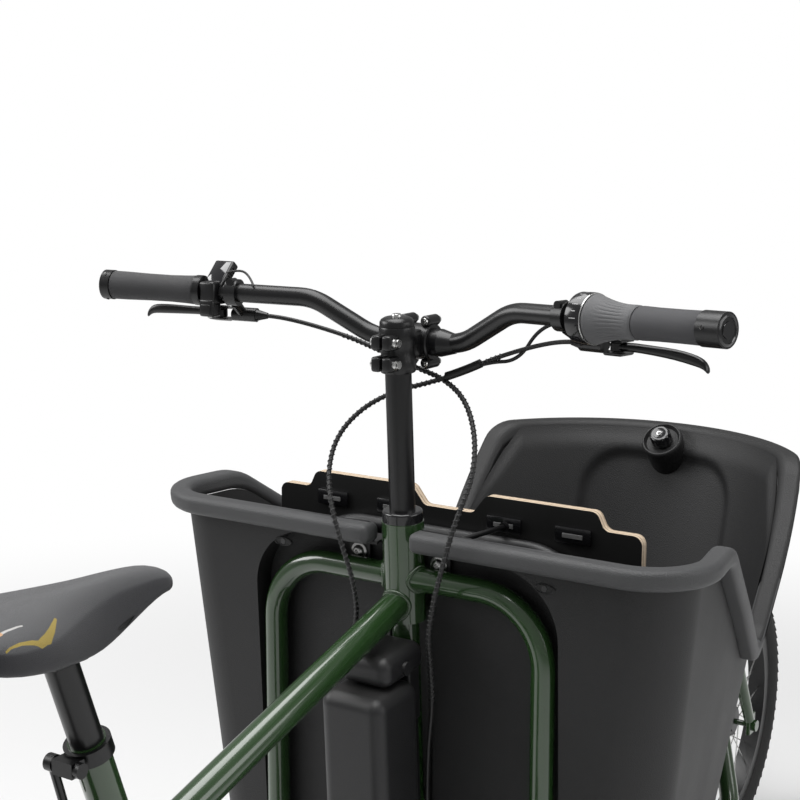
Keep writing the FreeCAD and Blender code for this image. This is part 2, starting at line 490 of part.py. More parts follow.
bar_end = Vec(BAR.x - BAR_BACK, BAR_WIDTH / 2, BAR.z + BAR_RISE)
bend_in = BAR + Y_AXIS * BAR_BEND_IN
bend_out = BAR + Vec(-BAR_BEND_BACK, BAR_BEND_OUT, BAR_BEND_UP)
half_bar = bent_tube([BAR, bend_in, bend_out, bar_end], BAR_R, [70.0, 70.0])
swell = rod(BAR, BAR + Y_AXIS * BAR_FLAT, BAR_CLAMP_R).fuse(
    cone(BAR + Y_AXIS * BAR_FLAT, BAR + Y_AXIS * (BAR_FLAT + BAR_TAPER), BAR_CLAMP_R, BAR_R))
left_bar = half_bar.fuse(swell)
nodes["handlebar"] = left_bar.fuse(mirror(left_bar)).removeSplitter()
INWARD = (bend_out - bar_end).normalize()           # along the left grip towards the stem
RIGHT_INWARD = Vec(INWARD.x, -INWARD.y, INWARD.z)
RIGHT_END = Vec(bar_end.x, -bar_end.y, bar_end.z)


def sleeve(side, start, end, radius, bore=BAR_R):
    """A sleeve on one bar end, between two distances from the end."""
    base, along = (bar_end, INWARD) if side > 0 else (RIGHT_END, RIGHT_INWARD)
    return pipe(base + along * start, base + along * end, radius, bore)


nodes["grip_left"] = sleeve(1, END_CAP_LEFT, GRIP_LEFT_END, GRIP_R)
nodes["grip_right"] = sleeve(-1, END_CAP_RIGHT, GRIP_RIGHT_END, GRIP_R)
clamp_r = GRIP_R + 1.5
nodes["grip_clamps"] = group([sleeve(1, 0, END_CAP_LEFT, clamp_r), sleeve(-1, 0, END_CAP_RIGHT, clamp_r),
                              sleeve(1, GRIP_LEFT_END, GRIP_LEFT_END + GRIP_RING, clamp_r)])
flare = TWIST_END - 20
nodes["shift_twist"] = sleeve(-1, GRIP_RIGHT_END + SLIP, flare, GRIP_R + 2, BAR_R + BEARING_CLEAR).fuse(
    sleeve(-1, flare, TWIST_END, GRIP_R + 9, BAR_R + BEARING_CLEAR))
shifter = sleeve(-1, TWIST_END + SLIP, TWIST_END + SHIFTER_W, GRIP_R + 10)
at = RIGHT_END + RIGHT_INWARD * (TWIST_END + SHIFTER_W - 8)
cable_box = fuse([rod(at + Vec(22, 0, -4), at + Vec(34, 26, -6), 8),
                  cone(at + Vec(34, 26, -6), at + Vec(38, 52, -12), 6, 3.5)])
nodes["shifter_body"] = shifter.fuse(cable_box.cut(rod(RIGHT_END, RIGHT_END + RIGHT_INWARD * 300, GRIP_R)))


def brake_body(side, clamp_at, pivot_at, ahead_by, below):
    """Clamp and master cylinder under the bar; the lever turns on a pin in its fork."""
    base, along = (bar_end, INWARD) if side > 0 else (RIGHT_END, RIGHT_INWARD)
    clamp_mid = base + along * clamp_at
    clamp = pipe(clamp_mid - along * 7, clamp_mid + along * 7, BAR_R + 5, BAR_R)
    forward = Vec(-side * along.y, side * along.x, 0).normalize()
    pivot = base + along * pivot_at + forward * ahead_by - Z_AXIS * below
    body = rod(pivot + along * 8, pivot + along * 48, 8.5)
    body = body.fuse(cone(pivot + along * 48, pivot + along * HOSE_EXIT, 7, HOSE_R))
    hang = clamp_mid - Z_AXIS * (BAR_R + 2) + forward * 3
    bridge = rod(hang, pivot + along * min(42.0, clamp_at - pivot_at), 6)
    bolt = rod(clamp_mid + Z_AXIS * 13 + forward * 2, clamp_mid + Z_AXIS * 13 - forward * 13, 4.5)
    fork = block(Vec(-12, -13, -9), Vec(12, 12, 9), 3)
    fork.Placement = FreeCAD.Placement(pivot, FreeCAD.Rotation(Y_AXIS, along))
    body = fuse([body, bridge, bolt, fork]).cut(rod(base, base + along * 400, BAR_R)).fuse(clamp)
    slot = rod(pivot - Z_AXIS * LEVER_SLOT, pivot + Z_AXIS * LEVER_SLOT, 19)
    pin_hole = rod(pivot - Z_AXIS * 14, pivot + Z_AXIS * 14, LEVER_PIN_R + LEVER_PIN_CLEAR)
    return body.cut(slot).cut(pin_hole), pivot, along, forward


def brake_lever(pivot, along, forward, reach_ahead, rise):
    """Blade that runs outwards ahead of the grip and hooks forward at its tip."""
    out = along * -1
    tip = pivot + out * LEVER_REACH + forward * reach_ahead + Z_AXIS * rise
    knuckle = pivot + out * 30 + forward * (reach_ahead * 0.4) + Z_AXIS
    waist = pivot + out * (LEVER_REACH * 0.6) + forward * (reach_ahead * 0.6) + Z_AXIS * (rise * 0.3)
    blade = bent_tube([pivot, knuckle, waist, tip - out * 13 - forward * 7, tip], 4.6, [40.0, 50.0, 8.0])
    eye = rod(pivot - Z_AXIS * 5, pivot + Z_AXIS * 5, 8)
    pin = rod(pivot - Z_AXIS * 9, pivot + Z_AXIS * 9, LEVER_PIN_R)
    return fuse([eye, pin, blade, Part.makeSphere(4.7, tip)])


left_brake, PIVOT_L, along_l, forward_l = brake_body(1, BRAKE_CLAMP_LEFT, LEVER_PIVOT_LEFT, 25, 29)
right_brake, PIVOT_R, along_r, forward_r = brake_body(-1, BRAKE_CLAMP_RIGHT, LEVER_PIVOT_RIGHT, 32, 31)
nodes["brake_bodies"] = group([left_brake, right_brake])
nodes["brake_lever_left"] = brake_lever(PIVOT_L, along_l, forward_l, 15, -2)
nodes["brake_lever_right"] = brake_lever(PIVOT_R, along_r, forward_r, 6, -8)

# Display: a clamp block on the bar just inside the left grip, and a tilted screen case on it.
disp_at = bar_end + INWARD * DISPLAY_AT
rear_lug = block(Vec(-20, -11, -29), Vec(-3, 11, -6), 3)
clamp_block = block(Vec(-19, -11, -16), Vec(16, 11, 13), 4).fuse(rear_lug)
clamp_block.Placement = FreeCAD.Placement(disp_at, FreeCAD.Rotation(Y_AXIS, INWARD))
screen = block(Vec(0, -14, -18), Vec(12, 14, 19), 3)
screen.Placement = FreeCAD.Placement(disp_at + Vec(4.5, 0, 21.5), FreeCAD.Rotation(Y_AXIS, 43))
display = fuse([clamp_block, screen, rod(disp_at + Vec(2, 0, 6), disp_at + Vec(9, 0, 18), 8)])
nodes["display"] = display.cut(rod(bar_end, bar_end + INWARD * 240, BAR_R)).cut(left_brake)

arm_at = on_column(LOWER_HEAD_END + 18)
ARM_TIP = arm_at + Y_AXIS * STEER_ARM
arm = fuse([rod(arm_at - DOWN * 10, arm_at + DOWN * 10, 18),
            block(arm_at + Vec(-9, 0, -7), arm_at + Vec(9, STEER_ARM, 7)),
            rod(ARM_TIP - DOWN * 7, ARM_TIP + DOWN * 7, 10),
            rod(ARM_TIP, ARM_TIP + DOWN * 27, ROD_PIN_R)])
nodes["steering_arm"] = arm.cut(rod(on_column(700), on_column(900), SHAFT_R))

# ---------------------------------------------------------------- front fork and its steering rod
crown = on_fork(CROWN_T)
FORK_FWD = Vec(sin(radians(FORK_ANGLE)), 0, cos(radians(FORK_ANGLE)))
fork_parts = [rod(crown, on_fork(front_head_top + 2), 14),
              rod(on_fork(CROWN_T + 14), on_fork(front_head_low - 1), 20)]
crown_bar = block(Vec(-16, -FORK_BLADE_Y + 6, -13), Vec(18, FORK_BLADE_Y - 6, 14), 8)
crown_bar.Placement = FreeCAD.Placement(crown, FreeCAD.Rotation(Z_AXIS, FORK_UP))
fork_parts.append(crown_bar)
for side in (-1, 1):
    top = crown + FORK_FWD * 4 + Y_AXIS * (side * (FORK_BLADE_Y - 14))
    foot = FRONT_AXLE + Y_AXIS * (side * FORK_BLADE_Y)
    fork_parts.append(cone(top, foot + (top - foot).normalize() * 12, 14, 9))
    fork_parts.append(block(foot + Vec(-13, -4, -16), foot + Vec(13, 4, 22), 2))
ROD_HEAD = crown + Y_AXIS * STEER_ARM
fork_parts.append(rod(ROD_HEAD - FORK_UP * 14, ROD_HEAD - FORK_UP * 4, 12))
fork = fuse(fork_parts)
axle_front = rod(FRONT_AXLE - Y_AXIS * 66, FRONT_AXLE + Y_AXIS * 66, 5)
wheel_room = Part.makeCylinder(FRONT_TYRE_R + 6, TYRE_W + 8, FRONT_AXLE - Y_AXIS * (TYRE_W / 2 + 4), Y_AXIS)
fork = fork.cut(axle_front).cut(wheel_room)
stud_low, stud_high = ROD_HEAD - FORK_UP * 12, ROD_HEAD + FORK_UP * 46
axle_nuts = [rod(FRONT_AXLE + Y_AXIS * (s * (FORK_BLADE_Y + 4)), FRONT_AXLE + Y_AXIS * (s * 68), 10)
             for s in (-1, 1)]
nodes["fork"] = group([fork.fuse(rod(stud_low, stud_high, ROD_PIN_R)), fuse([axle_front] + axle_nuts)])

rod_start = ARM_TIP + DOWN * 18
eye_at = ROD_HEAD + FORK_UP * 28
rod_points = [rod_start + X_AXIS * 10, ahead(ROD_LEVEL_AHEAD, STEER_ARM, rod_start.z),
              eye_at - FORK_FWD * 38, eye_at - FORK_FWD * 13]
tie = bent_tube(rod_points, ROD_R, [60.0, 14.0])
rear_eye = rod(rod_start - DOWN * 6, rod_start + DOWN * 6, 13)
front_eye = rod(eye_at - FORK_UP * 5, eye_at + FORK_UP * 5, 16)
tie = tie.multiFuse([rear_eye, front_eye])
tie = tie.cut(rod(rod_start - DOWN * 30, rod_start + DOWN * 30, ROD_PIN_R + BEARING_CLEAR))
nodes["tie_rod"] = tie.cut(rod(eye_at - FORK_UP * 40, eye_at + FORK_UP * 40, ROD_PIN_R + OPEN_EYE_CLEAR))

front_guard_in = FRONT_TYRE_R + GUARD_GAP
front_guard = wheel_arc(FRONT_AXLE, front_guard_in, front_guard_in + GUARD_WALL, GUARD_W / 2 - 6, 60, 190)
nodes["front_guard"] = front_guard.cut(fork)
nodes["front_caliper"] = caliper(FRONT_AXLE, FRONT_DISC_Y, FRONT_DISC_R, 42).cut(fork)

# ---------------------------------------------------------------- wheels


def make_wheel(name, axle, tyre_r, hub_r, hub_half, disc_y, disc_r):
    """Tyre, rim, laced spokes, and a hub with its brake disc, about one axle."""
    tube_r = TYRE_W / 2
    seat_r = tyre_r - TYRE_W + 4
    tyre = Part.makeTorus(tyre_r - tube_r, tube_r, axle, Y_AXIS)
    tyre = tyre.cut(Part.makeCylinder(seat_r, TYRE_W, axle - Y_AXIS * tube_r, Y_AXIS))
    nodes[name + "_tyre"] = tyre
    rim_half, rim_depth = 16.0, 22.0
    bed_r = seat_r - rim_depth
    nodes[name + "_rim"] = pipe(axle - Y_AXIS * rim_half, axle + Y_AXIS * rim_half, seat_r, bed_r)
    hub = fuse([rod(axle - Y_AXIS * hub_half, axle + Y_AXIS * hub_half, hub_r * 0.72),
                ring(axle + Y_AXIS * (hub_half - 5), Y_AXIS, hub_r, 8, 5),
                ring(axle - Y_AXIS * (hub_half - 5), Y_AXIS, hub_r, 8, 5),
                rod(axle + Y_AXIS * hub_half, axle + Y_AXIS * (disc_y + 1), 14),
                ring(axle + Y_AXIS * disc_y, Y_AXIS, disc_r, 12, 2)])
    windows = []
    for k in range(6):
        turn = k * pi / 3
        middle = axle + Vec((disc_r - 26) * cos(turn), disc_y, (disc_r - 26) * sin(turn))
        windows.append(rod(middle - Y_AXIS * 4, middle + Y_AXIS * 4, 13))
    nodes[name + "_hub"] = hub.cut(windows[0].multiFuse(windows[1:])).cut(
        rod(axle - Y_AXIS * 90, axle + Y_AXIS * 90, 5 + BEARING_CLEAR))
    spokes = []
    for k in range(SPOKES):
        side = 1 if k % 2 else -1
        lean = radians(34) * (1 if (k // 2) % 2 else -1)
        rim_a = 2 * pi * k / SPOKES
        hub_a = rim_a + lean
        flange_y = hub_half - 5 + (4 if (k // 2) % 2 else -4)
        start = axle + Vec((hub_r - 2) * cos(hub_a), side * flange_y, (hub_r - 2) * sin(hub_a))
        end = axle + Vec((seat_r - rim_depth) * cos(rim_a), side * 3, (seat_r - rim_depth) * sin(rim_a))
        spokes.append(rod(start, end, 1.0))
    nodes[name + "_spokes"] = group(spokes)


make_wheel("front", FRONT_AXLE, FRONT_TYRE_R, 26, 28, FRONT_DISC_Y, FRONT_DISC_R)
make_wheel("rear", REAR_AXLE, REAR_TYRE_R, 58, 34, REAR_DISC_Y, REAR_DISC_R)


def pulley(centre, radius):
    """A toothless belt wheel between two thin flanges."""
    wheel = rod(centre - Y_AXIS * (BELT_W / 2), centre + Y_AXIS * (BELT_W / 2), radius)
    rim = rod(centre + Y_AXIS * (BELT_W / 2), centre + Y_AXIS * (BELT_W / 2 + 1.5), radius + 3)
    return wheel.fuse(rim)


def belt_hull(c1, r1, c2, r2, half_w):
    """The solid inside a belt round two wheels."""
    d = c2 - c1
    tilt = acos((r1 - r2) / d.Length)
    heading = atan2(d.z, d.x)
    corners = []
    for c, r, s in ((c1, r1, 1), (c2, r2, 1), (c2, r2, -1), (c1, r1, -1)):
        corners.append(c + Vec(r * cos(heading + s * tilt), -half_w, r * sin(heading + s * tilt)))
    strip = Part.Face(Part.makePolygon(corners + corners[:1])).extrude(Y_AXIS * (2 * half_w))
    discs = [rod(c - Y_AXIS * half_w, c + Y_AXIS * half_w, r) for c, r in ((c1, r1), (c2, r2))]
    return strip.multiFuse(discs)


ring_at, cog_at = BB - Y_AXIS * BELT_Y, REAR_AXLE - Y_AXIS * BELT_Y
cog_bore = rod(cog_at - Y_AXIS * 20, cog_at + Y_AXIS * 20, 5 + BEARING_CLEAR)
nodes["belt_pulley"] = pulley(cog_at, COG_R).cut(cog_bore)
belt_half = BELT_W / 2 - 0.4
belt_inside = belt_hull(ring_at, RING_R + SLIP, cog_at, COG_R + SLIP, belt_half + 1)
belt_outside = belt_hull(ring_at, RING_R + SLIP + BELT_T, cog_at, COG_R + SLIP + BELT_T, belt_half)
nodes["drive_belt"] = belt_outside.cut(belt_inside)


def crank_arm(side, angle):
    eye = BB + Y_AXIS * (side * 72)
    tip = eye + Vec(CRANK_LEN * cos(angle), side * 6, CRANK_LEN * sin(angle))
    body = fuse([rod(eye - Y_AXIS * 7, eye + Y_AXIS * 7, 16), rod(tip - Y_AXIS * 6, tip + Y_AXIS * 6, 12),
                 cone(eye, tip, 11, 8)])
    return body.cut(rod(tip - Y_AXIS * 20, tip + Y_AXIS * 20, 6 + BEARING_CLEAR)), tip


crank_angle = radians(-14)
arm_left, PEDAL_L = crank_arm(1, crank_angle)
arm_right, PEDAL_R = crank_arm(-1, crank_angle + pi)
ring_wheel = pulley(ring_at, RING_R)
crank_axle = rod(BB - Y_AXIS * 66, BB + Y_AXIS * 66, CRANK_AXLE_R)
nodes["cranks"] = group([fuse([arm_left, arm_right, crank_axle]), ring_wheel.cut(crank_axle)])
for name, tip, side in (("pedal_left", PEDAL_L, 1), ("pedal_right", PEDAL_R, -1)):
    out = Y_AXIS * side
    core = rod(tip - out * 8, tip + out * 92, 6).fuse(rod(tip + out * 14, tip + out * 96, 9))
    middle = tip + out * 57
    cage = block(middle - Vec(46, 41, 11), middle + Vec(46, 41, 11), 4)
    rooms = [block(middle + Vec(s * 24 - 12, -29, -20), middle + Vec(s * 24 + 12, 29, 20)) for s in (-1, 1)]
    nodes[name] = core.fuse(cage.cut(rooms[0]).cut(rooms[1]))

# ---------------------------------------------------------------- stand, seat and battery
leg_parts = [rod(STAND - Y_AXIS * (STAND_HALF + 42), STAND + Y_AXIS * (STAND_HALF + 42), 8),
             pipe(STAND - Y_AXIS * (STAND_HALF + 12), STAND + Y_AXIS * (STAND_HALF + 12), 13, 8)]
for side in (-1, 1):
    knee = STAND + Y_AXIS * (side * STAND_HALF)
    toe = ahead(STAND_AHEAD + 46, side * (STAND_HALF + 18), STAND_LEG_R)
    foot = block(toe + Vec(-22, -15, -STAND_LEG_R), toe + Vec(30, 15, 3), 4)
    leg_parts += [rod(knee, toe, STAND_LEG_R), foot]
nodes["centre_stand"] = fuse(leg_parts)

post_top = on_seat_tube((SADDLE_Z - 35 - BB_Z) / SEAT_UP.z)
post = rod(on_seat_tube(SEAT_TUBE_LEN - 180), post_top, SEATPOST_R)
head = block(post_top + Vec(-22, -20, -8), post_top + Vec(22, 20, 14), 5)
rails = []
rail_z = SADDLE_Z - 22
for side in (-1, 1):
    rail_points = [ahead(-SADDLE_BEHIND - 34, side * 9, SADDLE_Z - 4),
                   ahead(-SADDLE_BEHIND - 82, side * 22, rail_z),
                   ahead(-SADDLE_BEHIND - 196, side * 22, rail_z),
                   ahead(-SADDLE_BEHIND - 236, side * 40, SADDLE_Z - 2)]
    rails.append(bent_tube(rail_points, RAIL_R, 16.0))
seatpost = fuse([post, head.cut(rails[0]).cut(rails[1])])
seat_x = -SADDLE_BEHIND
# Each section: distance behind the tip, half width, half height, and rise of its middle.
sections = [(0, 3, 4, -8), (-9, 14, 10, -3), (-24, 19, 14, 0), (-60, 22, 26, -7), (-100, 27, 38, -16),
            (-145, 42, 37, -13), (-195, 64, 32, -6), (-235, 76, 28, 1), (-SADDLE_LEN + 14, 70, 24, 5),
            (-SADDLE_LEN, 44, 12, 8)]
saddle = oval_loft([(ahead(seat_x + dx, 0, SADDLE_Z + dz), hw, hh) for dx, hw, hh, dz in sections])
COVER_T, COVER_SIDE = 25.0, 7.0
hollow = oval_loft([(ahead(seat_x + dx, 0, SADDLE_Z + dz - COVER_T), hw - COVER_SIDE, hh)
                    for dx, hw, hh, dz in sections[3:]])
saddle = saddle.cut(hollow)
saddle = saddle.cut(block(post_top + Vec(-25, -23, -8), post_top + Vec(25, 23, 17)))
nodes["saddle"] = saddle
nodes["seatpost"] = group([seatpost] + [r.cut(saddle) for r in rails])

qr_eye = QR + Y_AXIS * 17
lever_tip = qr_eye - SEAT_UP * 52 + Y_AXIS * 6
nodes["seat_lever"] = fuse([rod(QR - Y_AXIS * 18, QR + Y_AXIS * 18, 3),
                            rod(qr_eye - Y_AXIS * 4, qr_eye + Y_AXIS * 5, 8),
                            rod(QR - Y_AXIS * 18, QR - Y_AXIS * 12.5, 7),
                            rod(qr_eye + Y_AXIS * 2, lever_tip, 4.2)])

pack_len, pack_x, pack_top = 300.0, 84.0, 404.0
pack = block(Vec(-HOUSING_R - 22 - pack_x, -42, 0), Vec(-HOUSING_R - 22, 42, pack_len), 16)
cradle = block(Vec(-HOUSING_R - 22 + SLIP, -23, 8), Vec(-HOUSING_R + 4, 23, pack_len - 8), 4)
hood = block(Vec(-HOUSING_R - 78, -34, pack_len + 2), Vec(-HOUSING_R + 4, 34, pack_len + 38), 14)
back = block(Vec(-HOUSING_R - 20, -26, pack_len - 60), Vec(-HOUSING_R + 4, 26, pack_len + 20), 4)
lock = rod(Vec(-HOUSING_R - 40, -32, pack_len + 18), Vec(-HOUSING_R - 40, -38, pack_len + 18), 8)
on_housing = FreeCAD.Placement(on_column(pack_top + pack_len), FreeCAD.Rotation(Y_AXIS, -COLUMN_RAKE))
for shape in (pack, cradle, hood, back, lock):
    shape.Placement = on_housing
nodes["battery"] = pack
mount_body = fuse([cradle, hood, back, lock]).cut(rod(main_rear, main_front, MAIN_TUBE_R + SLIP))
for tube_top, tube_end, tube_r in ((HEAD_TUBE_TOP, HEAD_TUBE_END, HEAD_TUBE_R),
                                   (HEAD_TUBE_END, LOWER_HEAD_TOP, HOUSING_R),
                                   (LOWER_HEAD_TOP, LOWER_HEAD_END, LOWER_HEAD_R)):
    mount_body = mount_body.cut(rod(on_column(tube_top), on_column(tube_end), tube_r))
nodes["battery_cradle"] = mount_body

# ---------------------------------------------------------------- hoses, along their whole route
# Each hose leaves its brake, crosses ahead of the column, loops down the far side of it, passes
# the main tube and follows the column housing into the top of the down tube.
def tail(side):
    """The last stretch of a hose, down beside the column housing."""
    return [ahead(x, side * y, z)
            for x, y, z in ((-14, 54, 694), (-2, 50, 640), (8, 38, 585), (14, 33, 525), (18, 31, 460),
                            (21, 30, 400), (20, 25, 350), (14, 14, 312))]


left_loop = [(60, 112, 1049), (63, 62, 1033), (62, 14, 1018), (57, -28, 1009), (42, -66, 990), (16, -94, 954),
             (-8, -104, 914), (-34, -98, 872), (-38, -86, 826), (-34, -70, 776), (-26, -58, 730)]
right_loop = [(60, -96, 1040), (54, -56, 1020), (50, -12, 1004), (44, 30, 992), (30, 68, 970), (10, 90, 938),
              (-14, 86, 902), (-36, 66, 866), (-42, 48, 826), (-34, 38, 784), (-26, 37, 744), (-20, 48, 708)]
left_exit = [PIVOT_L + along_l * HOSE_EXIT, PIVOT_L + along_l * (HOSE_EXIT + 22)]
right_exit = [PIVOT_R + along_r * HOSE_EXIT, PIVOT_R + along_r * (HOSE_EXIT + 22)]
left_route = left_exit + [ahead(*point) for point in left_loop] + tail(-1)
right_route = right_exit + [ahead(*point) for point in right_loop] + tail(1)[1:]
hose_left, hose_right = hose("hose_left", left_route, HOSE_R), hose("hose_right", right_route, HOSE_R)
nodes["brake_hoses"] = group([h.cut(down_tube) for h in (hose_left, hose_right)])

# ---------------------------------------------------------------- write every node
os.makedirs("parts", exist_ok=True)
for name, shape in nodes.items():
    shape.exportStep("parts/" + name + ".step")
print(len(nodes), "nodes written")
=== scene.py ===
import json
from math import atan2, cos, pi, radians, sin, sqrt

import bmesh
import bpy
from mathutils import Matrix, Vector


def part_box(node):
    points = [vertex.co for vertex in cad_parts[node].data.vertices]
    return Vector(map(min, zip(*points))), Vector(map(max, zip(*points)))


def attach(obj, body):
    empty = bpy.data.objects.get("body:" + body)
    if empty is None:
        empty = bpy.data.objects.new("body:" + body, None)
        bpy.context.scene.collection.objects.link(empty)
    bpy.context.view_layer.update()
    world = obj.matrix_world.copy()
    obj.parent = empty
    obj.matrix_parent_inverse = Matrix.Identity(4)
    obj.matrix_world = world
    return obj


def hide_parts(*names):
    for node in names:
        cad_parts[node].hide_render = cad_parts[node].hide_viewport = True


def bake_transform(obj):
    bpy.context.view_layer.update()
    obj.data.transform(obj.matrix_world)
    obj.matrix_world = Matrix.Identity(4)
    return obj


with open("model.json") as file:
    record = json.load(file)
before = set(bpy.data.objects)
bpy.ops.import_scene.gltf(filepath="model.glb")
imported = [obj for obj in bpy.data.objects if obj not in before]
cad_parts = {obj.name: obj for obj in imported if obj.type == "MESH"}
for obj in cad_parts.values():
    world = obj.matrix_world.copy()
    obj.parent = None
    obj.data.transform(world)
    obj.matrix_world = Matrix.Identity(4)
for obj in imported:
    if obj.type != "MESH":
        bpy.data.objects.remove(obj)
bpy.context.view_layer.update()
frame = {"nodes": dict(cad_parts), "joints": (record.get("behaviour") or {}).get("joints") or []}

# %% [markdown]
# A cargo bicycle, dressed piece by piece.
# The frame above holds every engineered piece of the bicycle: tubes, wheels, the tub and all
# that turns.  This lesson gives those pieces their finishes and builds in mesh code what a
# plain solid can't show: moulded grips, a soft saddle, wrapped hoses, weld beads and treads.
# Everything is in metres, +X forward, +Y to the rider's left, +Z up.

# %% Measure the frame
scene = bpy.context.scene
MM = 0.001
X, Y, Z = Vector((1, 0, 0)), Vector((0, 1, 0)), Vector((0, 0, 1))
joints = {joint["name"]: joint for joint in frame["joints"]}


def joint_place(name):
    return Vector(joints[name]["pos_m"])


def joint_axis(name):
    return Vector(joints[name]["axis"]).normalized()


COLUMN_TOP = joint_place("steer")
COLUMN_UP = joint_axis("steer")
RIGHT_END = joint_place("shift")
RIGHT_IN = joint_axis("shift")
LEFT_END = Vector((RIGHT_END.x, -RIGHT_END.y, RIGHT_END.z))
LEFT_IN = Vector((RIGHT_IN.x, -RIGHT_IN.y, RIGHT_IN.z))
REAR_AXLE = joint_place("rear_wheel_spin")
FRONT_AXLE = joint_place("front_wheel_spin")
print("column top", tuple(round(c, 4) for c in COLUMN_TOP), "right bar end", tuple(round(c, 4) for c in RIGHT_END))

# %% [markdown]
# Camera.  The bicycle is seen from behind the right shoulder of a rider who has just got off:
# a little above the bars, looking down over the saddle into the open tub.  A longish lens
# keeps the perspective gentle.

# %% Place the camera
camera = bpy.data.objects.new("camera", bpy.data.cameras.new("camera"))
scene.collection.objects.link(camera)
camera.location = (-1.47606, -0.91050, 1.28892)
camera.rotation_euler = (radians(79.85), 0, radians(-57.06))
camera.data.lens = 67.94
camera.data.sensor_width = 36.0
camera.data.clip_end = 60.0
scene.camera = camera

# %% [markdown]
# Stage.  A pale floor takes the shadow, and far away it turns plain white, so that no line
# shows where it ends.  Large soft lamps stand for a studio's light tents: dark plastic and
# paint show their shape mostly by what they reflect.

# %% Floor and lamps
def new_material(name):
    material = bpy.data.materials.new(name)
    material.use_nodes = True
    tree = material.node_tree
    return material, tree, tree.nodes["Principled BSDF"]


def add(tree, kind, **settings):
    node = tree.nodes.new(kind)
    for key, value in settings.items():
        setattr(node, key, value)
    return node


def link(tree, source, output, target, socket):
    tree.links.new(source.outputs[output], target.inputs[socket])


def white_for_the_eye(tree, shader, fade=None):
    """Mixes a shader with plain white where the camera looks straight at it."""
    path = add(tree, "ShaderNodeLightPath")
    glow = add(tree, "ShaderNodeEmission")
    glow.inputs["Strength"].default_value = 1.0
    amount, output = path, "Is Camera Ray"
    if fade is not None:
        amount, output = add(tree, "ShaderNodeMath", operation="MULTIPLY"), 0
        link(tree, path, "Is Camera Ray", amount, 0)
        link(tree, fade, 0, amount, 1)
    mix = add(tree, "ShaderNodeMixShader")
    link(tree, amount, output, mix, 0)
    link(tree, shader, 0, mix, 1)
    link(tree, glow, 0, mix, 2)
    return mix


FLOOR_SIZE = 24.0
bm = bmesh.new()
bmesh.ops.create_grid(bm, x_segments=1, y_segments=1, size=FLOOR_SIZE)
floor_mesh = bpy.data.meshes.new("floor")
bm.to_mesh(floor_mesh)
bm.free()
floor = bpy.data.objects.new("floor", floor_mesh)
scene.collection.objects.link(floor)
floor_material, tree, floor_shader = new_material("pale_floor")
floor_shader.inputs["Base Color"].default_value = (0.80, 0.80, 0.80, 1)
floor_shader.inputs["Roughness"].default_value = 0.85
place = add(tree, "ShaderNodeTexCoord")
reach = add(tree, "ShaderNodeVectorMath", operation="LENGTH")
link(tree, place, "Object", reach, 0)
fade = add(tree, "ShaderNodeMapRange", interpolation_type="SMOOTHSTEP")
fade.inputs["From Min"].default_value = 1.3
fade.inputs["From Max"].default_value = 3.2
tree.links.new(reach.outputs["Value"], fade.inputs["Value"])
floor_mix = white_for_the_eye(tree, floor_shader, fade)
link(tree, floor_mix, 0, tree.nodes["Material Output"], "Surface")
floor_mesh.materials.append(floor_material)

world = bpy.data.worlds.new("studio")
scene.world = world
world.use_nodes = True
tree = world.node_tree
ambient = tree.nodes["Background"]
ambient.inputs["Color"].default_value = (1, 1, 1, 1)
ambient.inputs["Strength"].default_value = 0.30
backdrop = white_for_the_eye(tree, ambient)
link(tree, backdrop, 0, tree.nodes["World Output"], "Surface")


def soft_lamp(name, place, aim, size, watts):
    data = bpy.data.lights.new(name, "AREA")
    data.shape = "RECTANGLE"
    data.size, data.size_y = size
    data.energy = watts
    lamp = bpy.data.objects.new(name, data)
    scene.collection.objects.link(lamp)
    lamp.location = place
    lamp.rotation_euler = (Vector(aim) - Vector(place)).to_track_quat("-Z", "Y").to_euler()


soft_lamp("overhead", (-0.2, 0.2, 3.6), (0.1, 0, 0.8), (3.2, 2.2), 112)
soft_lamp("key_from_left", (-1.4, 3.0, 2.6), (0, 0, 0.8), (2.2, 1.6), 62)
soft_lamp("fill_from_right", (0.6, -3.2, 1.9), (0.2, 0, 0.7), (2.4, 1.6), 26)
scene.view_settings.view_transform = "Standard"

# %% [markdown]
# Shared effects.  Every moulded or painted surface on a real bicycle is a little uneven: the
# plastic has a fine leathery grain, paint has orange peel, rubber is dusty.  Each effect is
# one node group with named inputs, so that all finishes share it with their own values.

# %% Node group: grain and mottling
def new_group(name, inputs, outputs):
    group = bpy.data.node_groups.new(name, "ShaderNodeTree")
    for label, kind, value in inputs:
        socket = group.interface.new_socket(label, in_out="INPUT", socket_type=kind)
        if value is not None:
            socket.default_value = value
    for label, kind in outputs:
        group.interface.new_socket(label, in_out="OUTPUT", socket_type=kind)
    return group, group.nodes.new("NodeGroupInput"), group.nodes.new("NodeGroupOutput")


FLOAT, COLOUR, VECTOR = "NodeSocketFloat", "NodeSocketColor", "NodeSocketVector"

grain_group, given, result = new_group(
    "moulded_grain",
    [("Grain Size", FLOAT, 900.0), ("Grain Depth", FLOAT, 0.5), ("Mottle Size", FLOAT, 9.0)],
    [("Height", FLOAT), ("Mottle", FLOAT)])
place = add(grain_group, "ShaderNodeTexCoord")
pits = add(grain_group, "ShaderNodeTexVoronoi", feature="F1")
link(grain_group, place, "Object", pits, "Vector")
link(grain_group, given, "Grain Size", pits, "Scale")
cloud = add(grain_group, "ShaderNodeTexNoise")
cloud.inputs["Detail"].default_value = 6.0
link(grain_group, place, "Object", cloud, "Vector")
link(grain_group, given, "Mottle Size", cloud, "Scale")
depth = add(grain_group, "ShaderNodeMath", operation="MULTIPLY")
link(grain_group, pits, "Distance", depth, 0)
link(grain_group, given, "Grain Depth", depth, 1)
link(grain_group, depth, 0, result, "Height")
link(grain_group, cloud, "Fac", result, "Mottle")

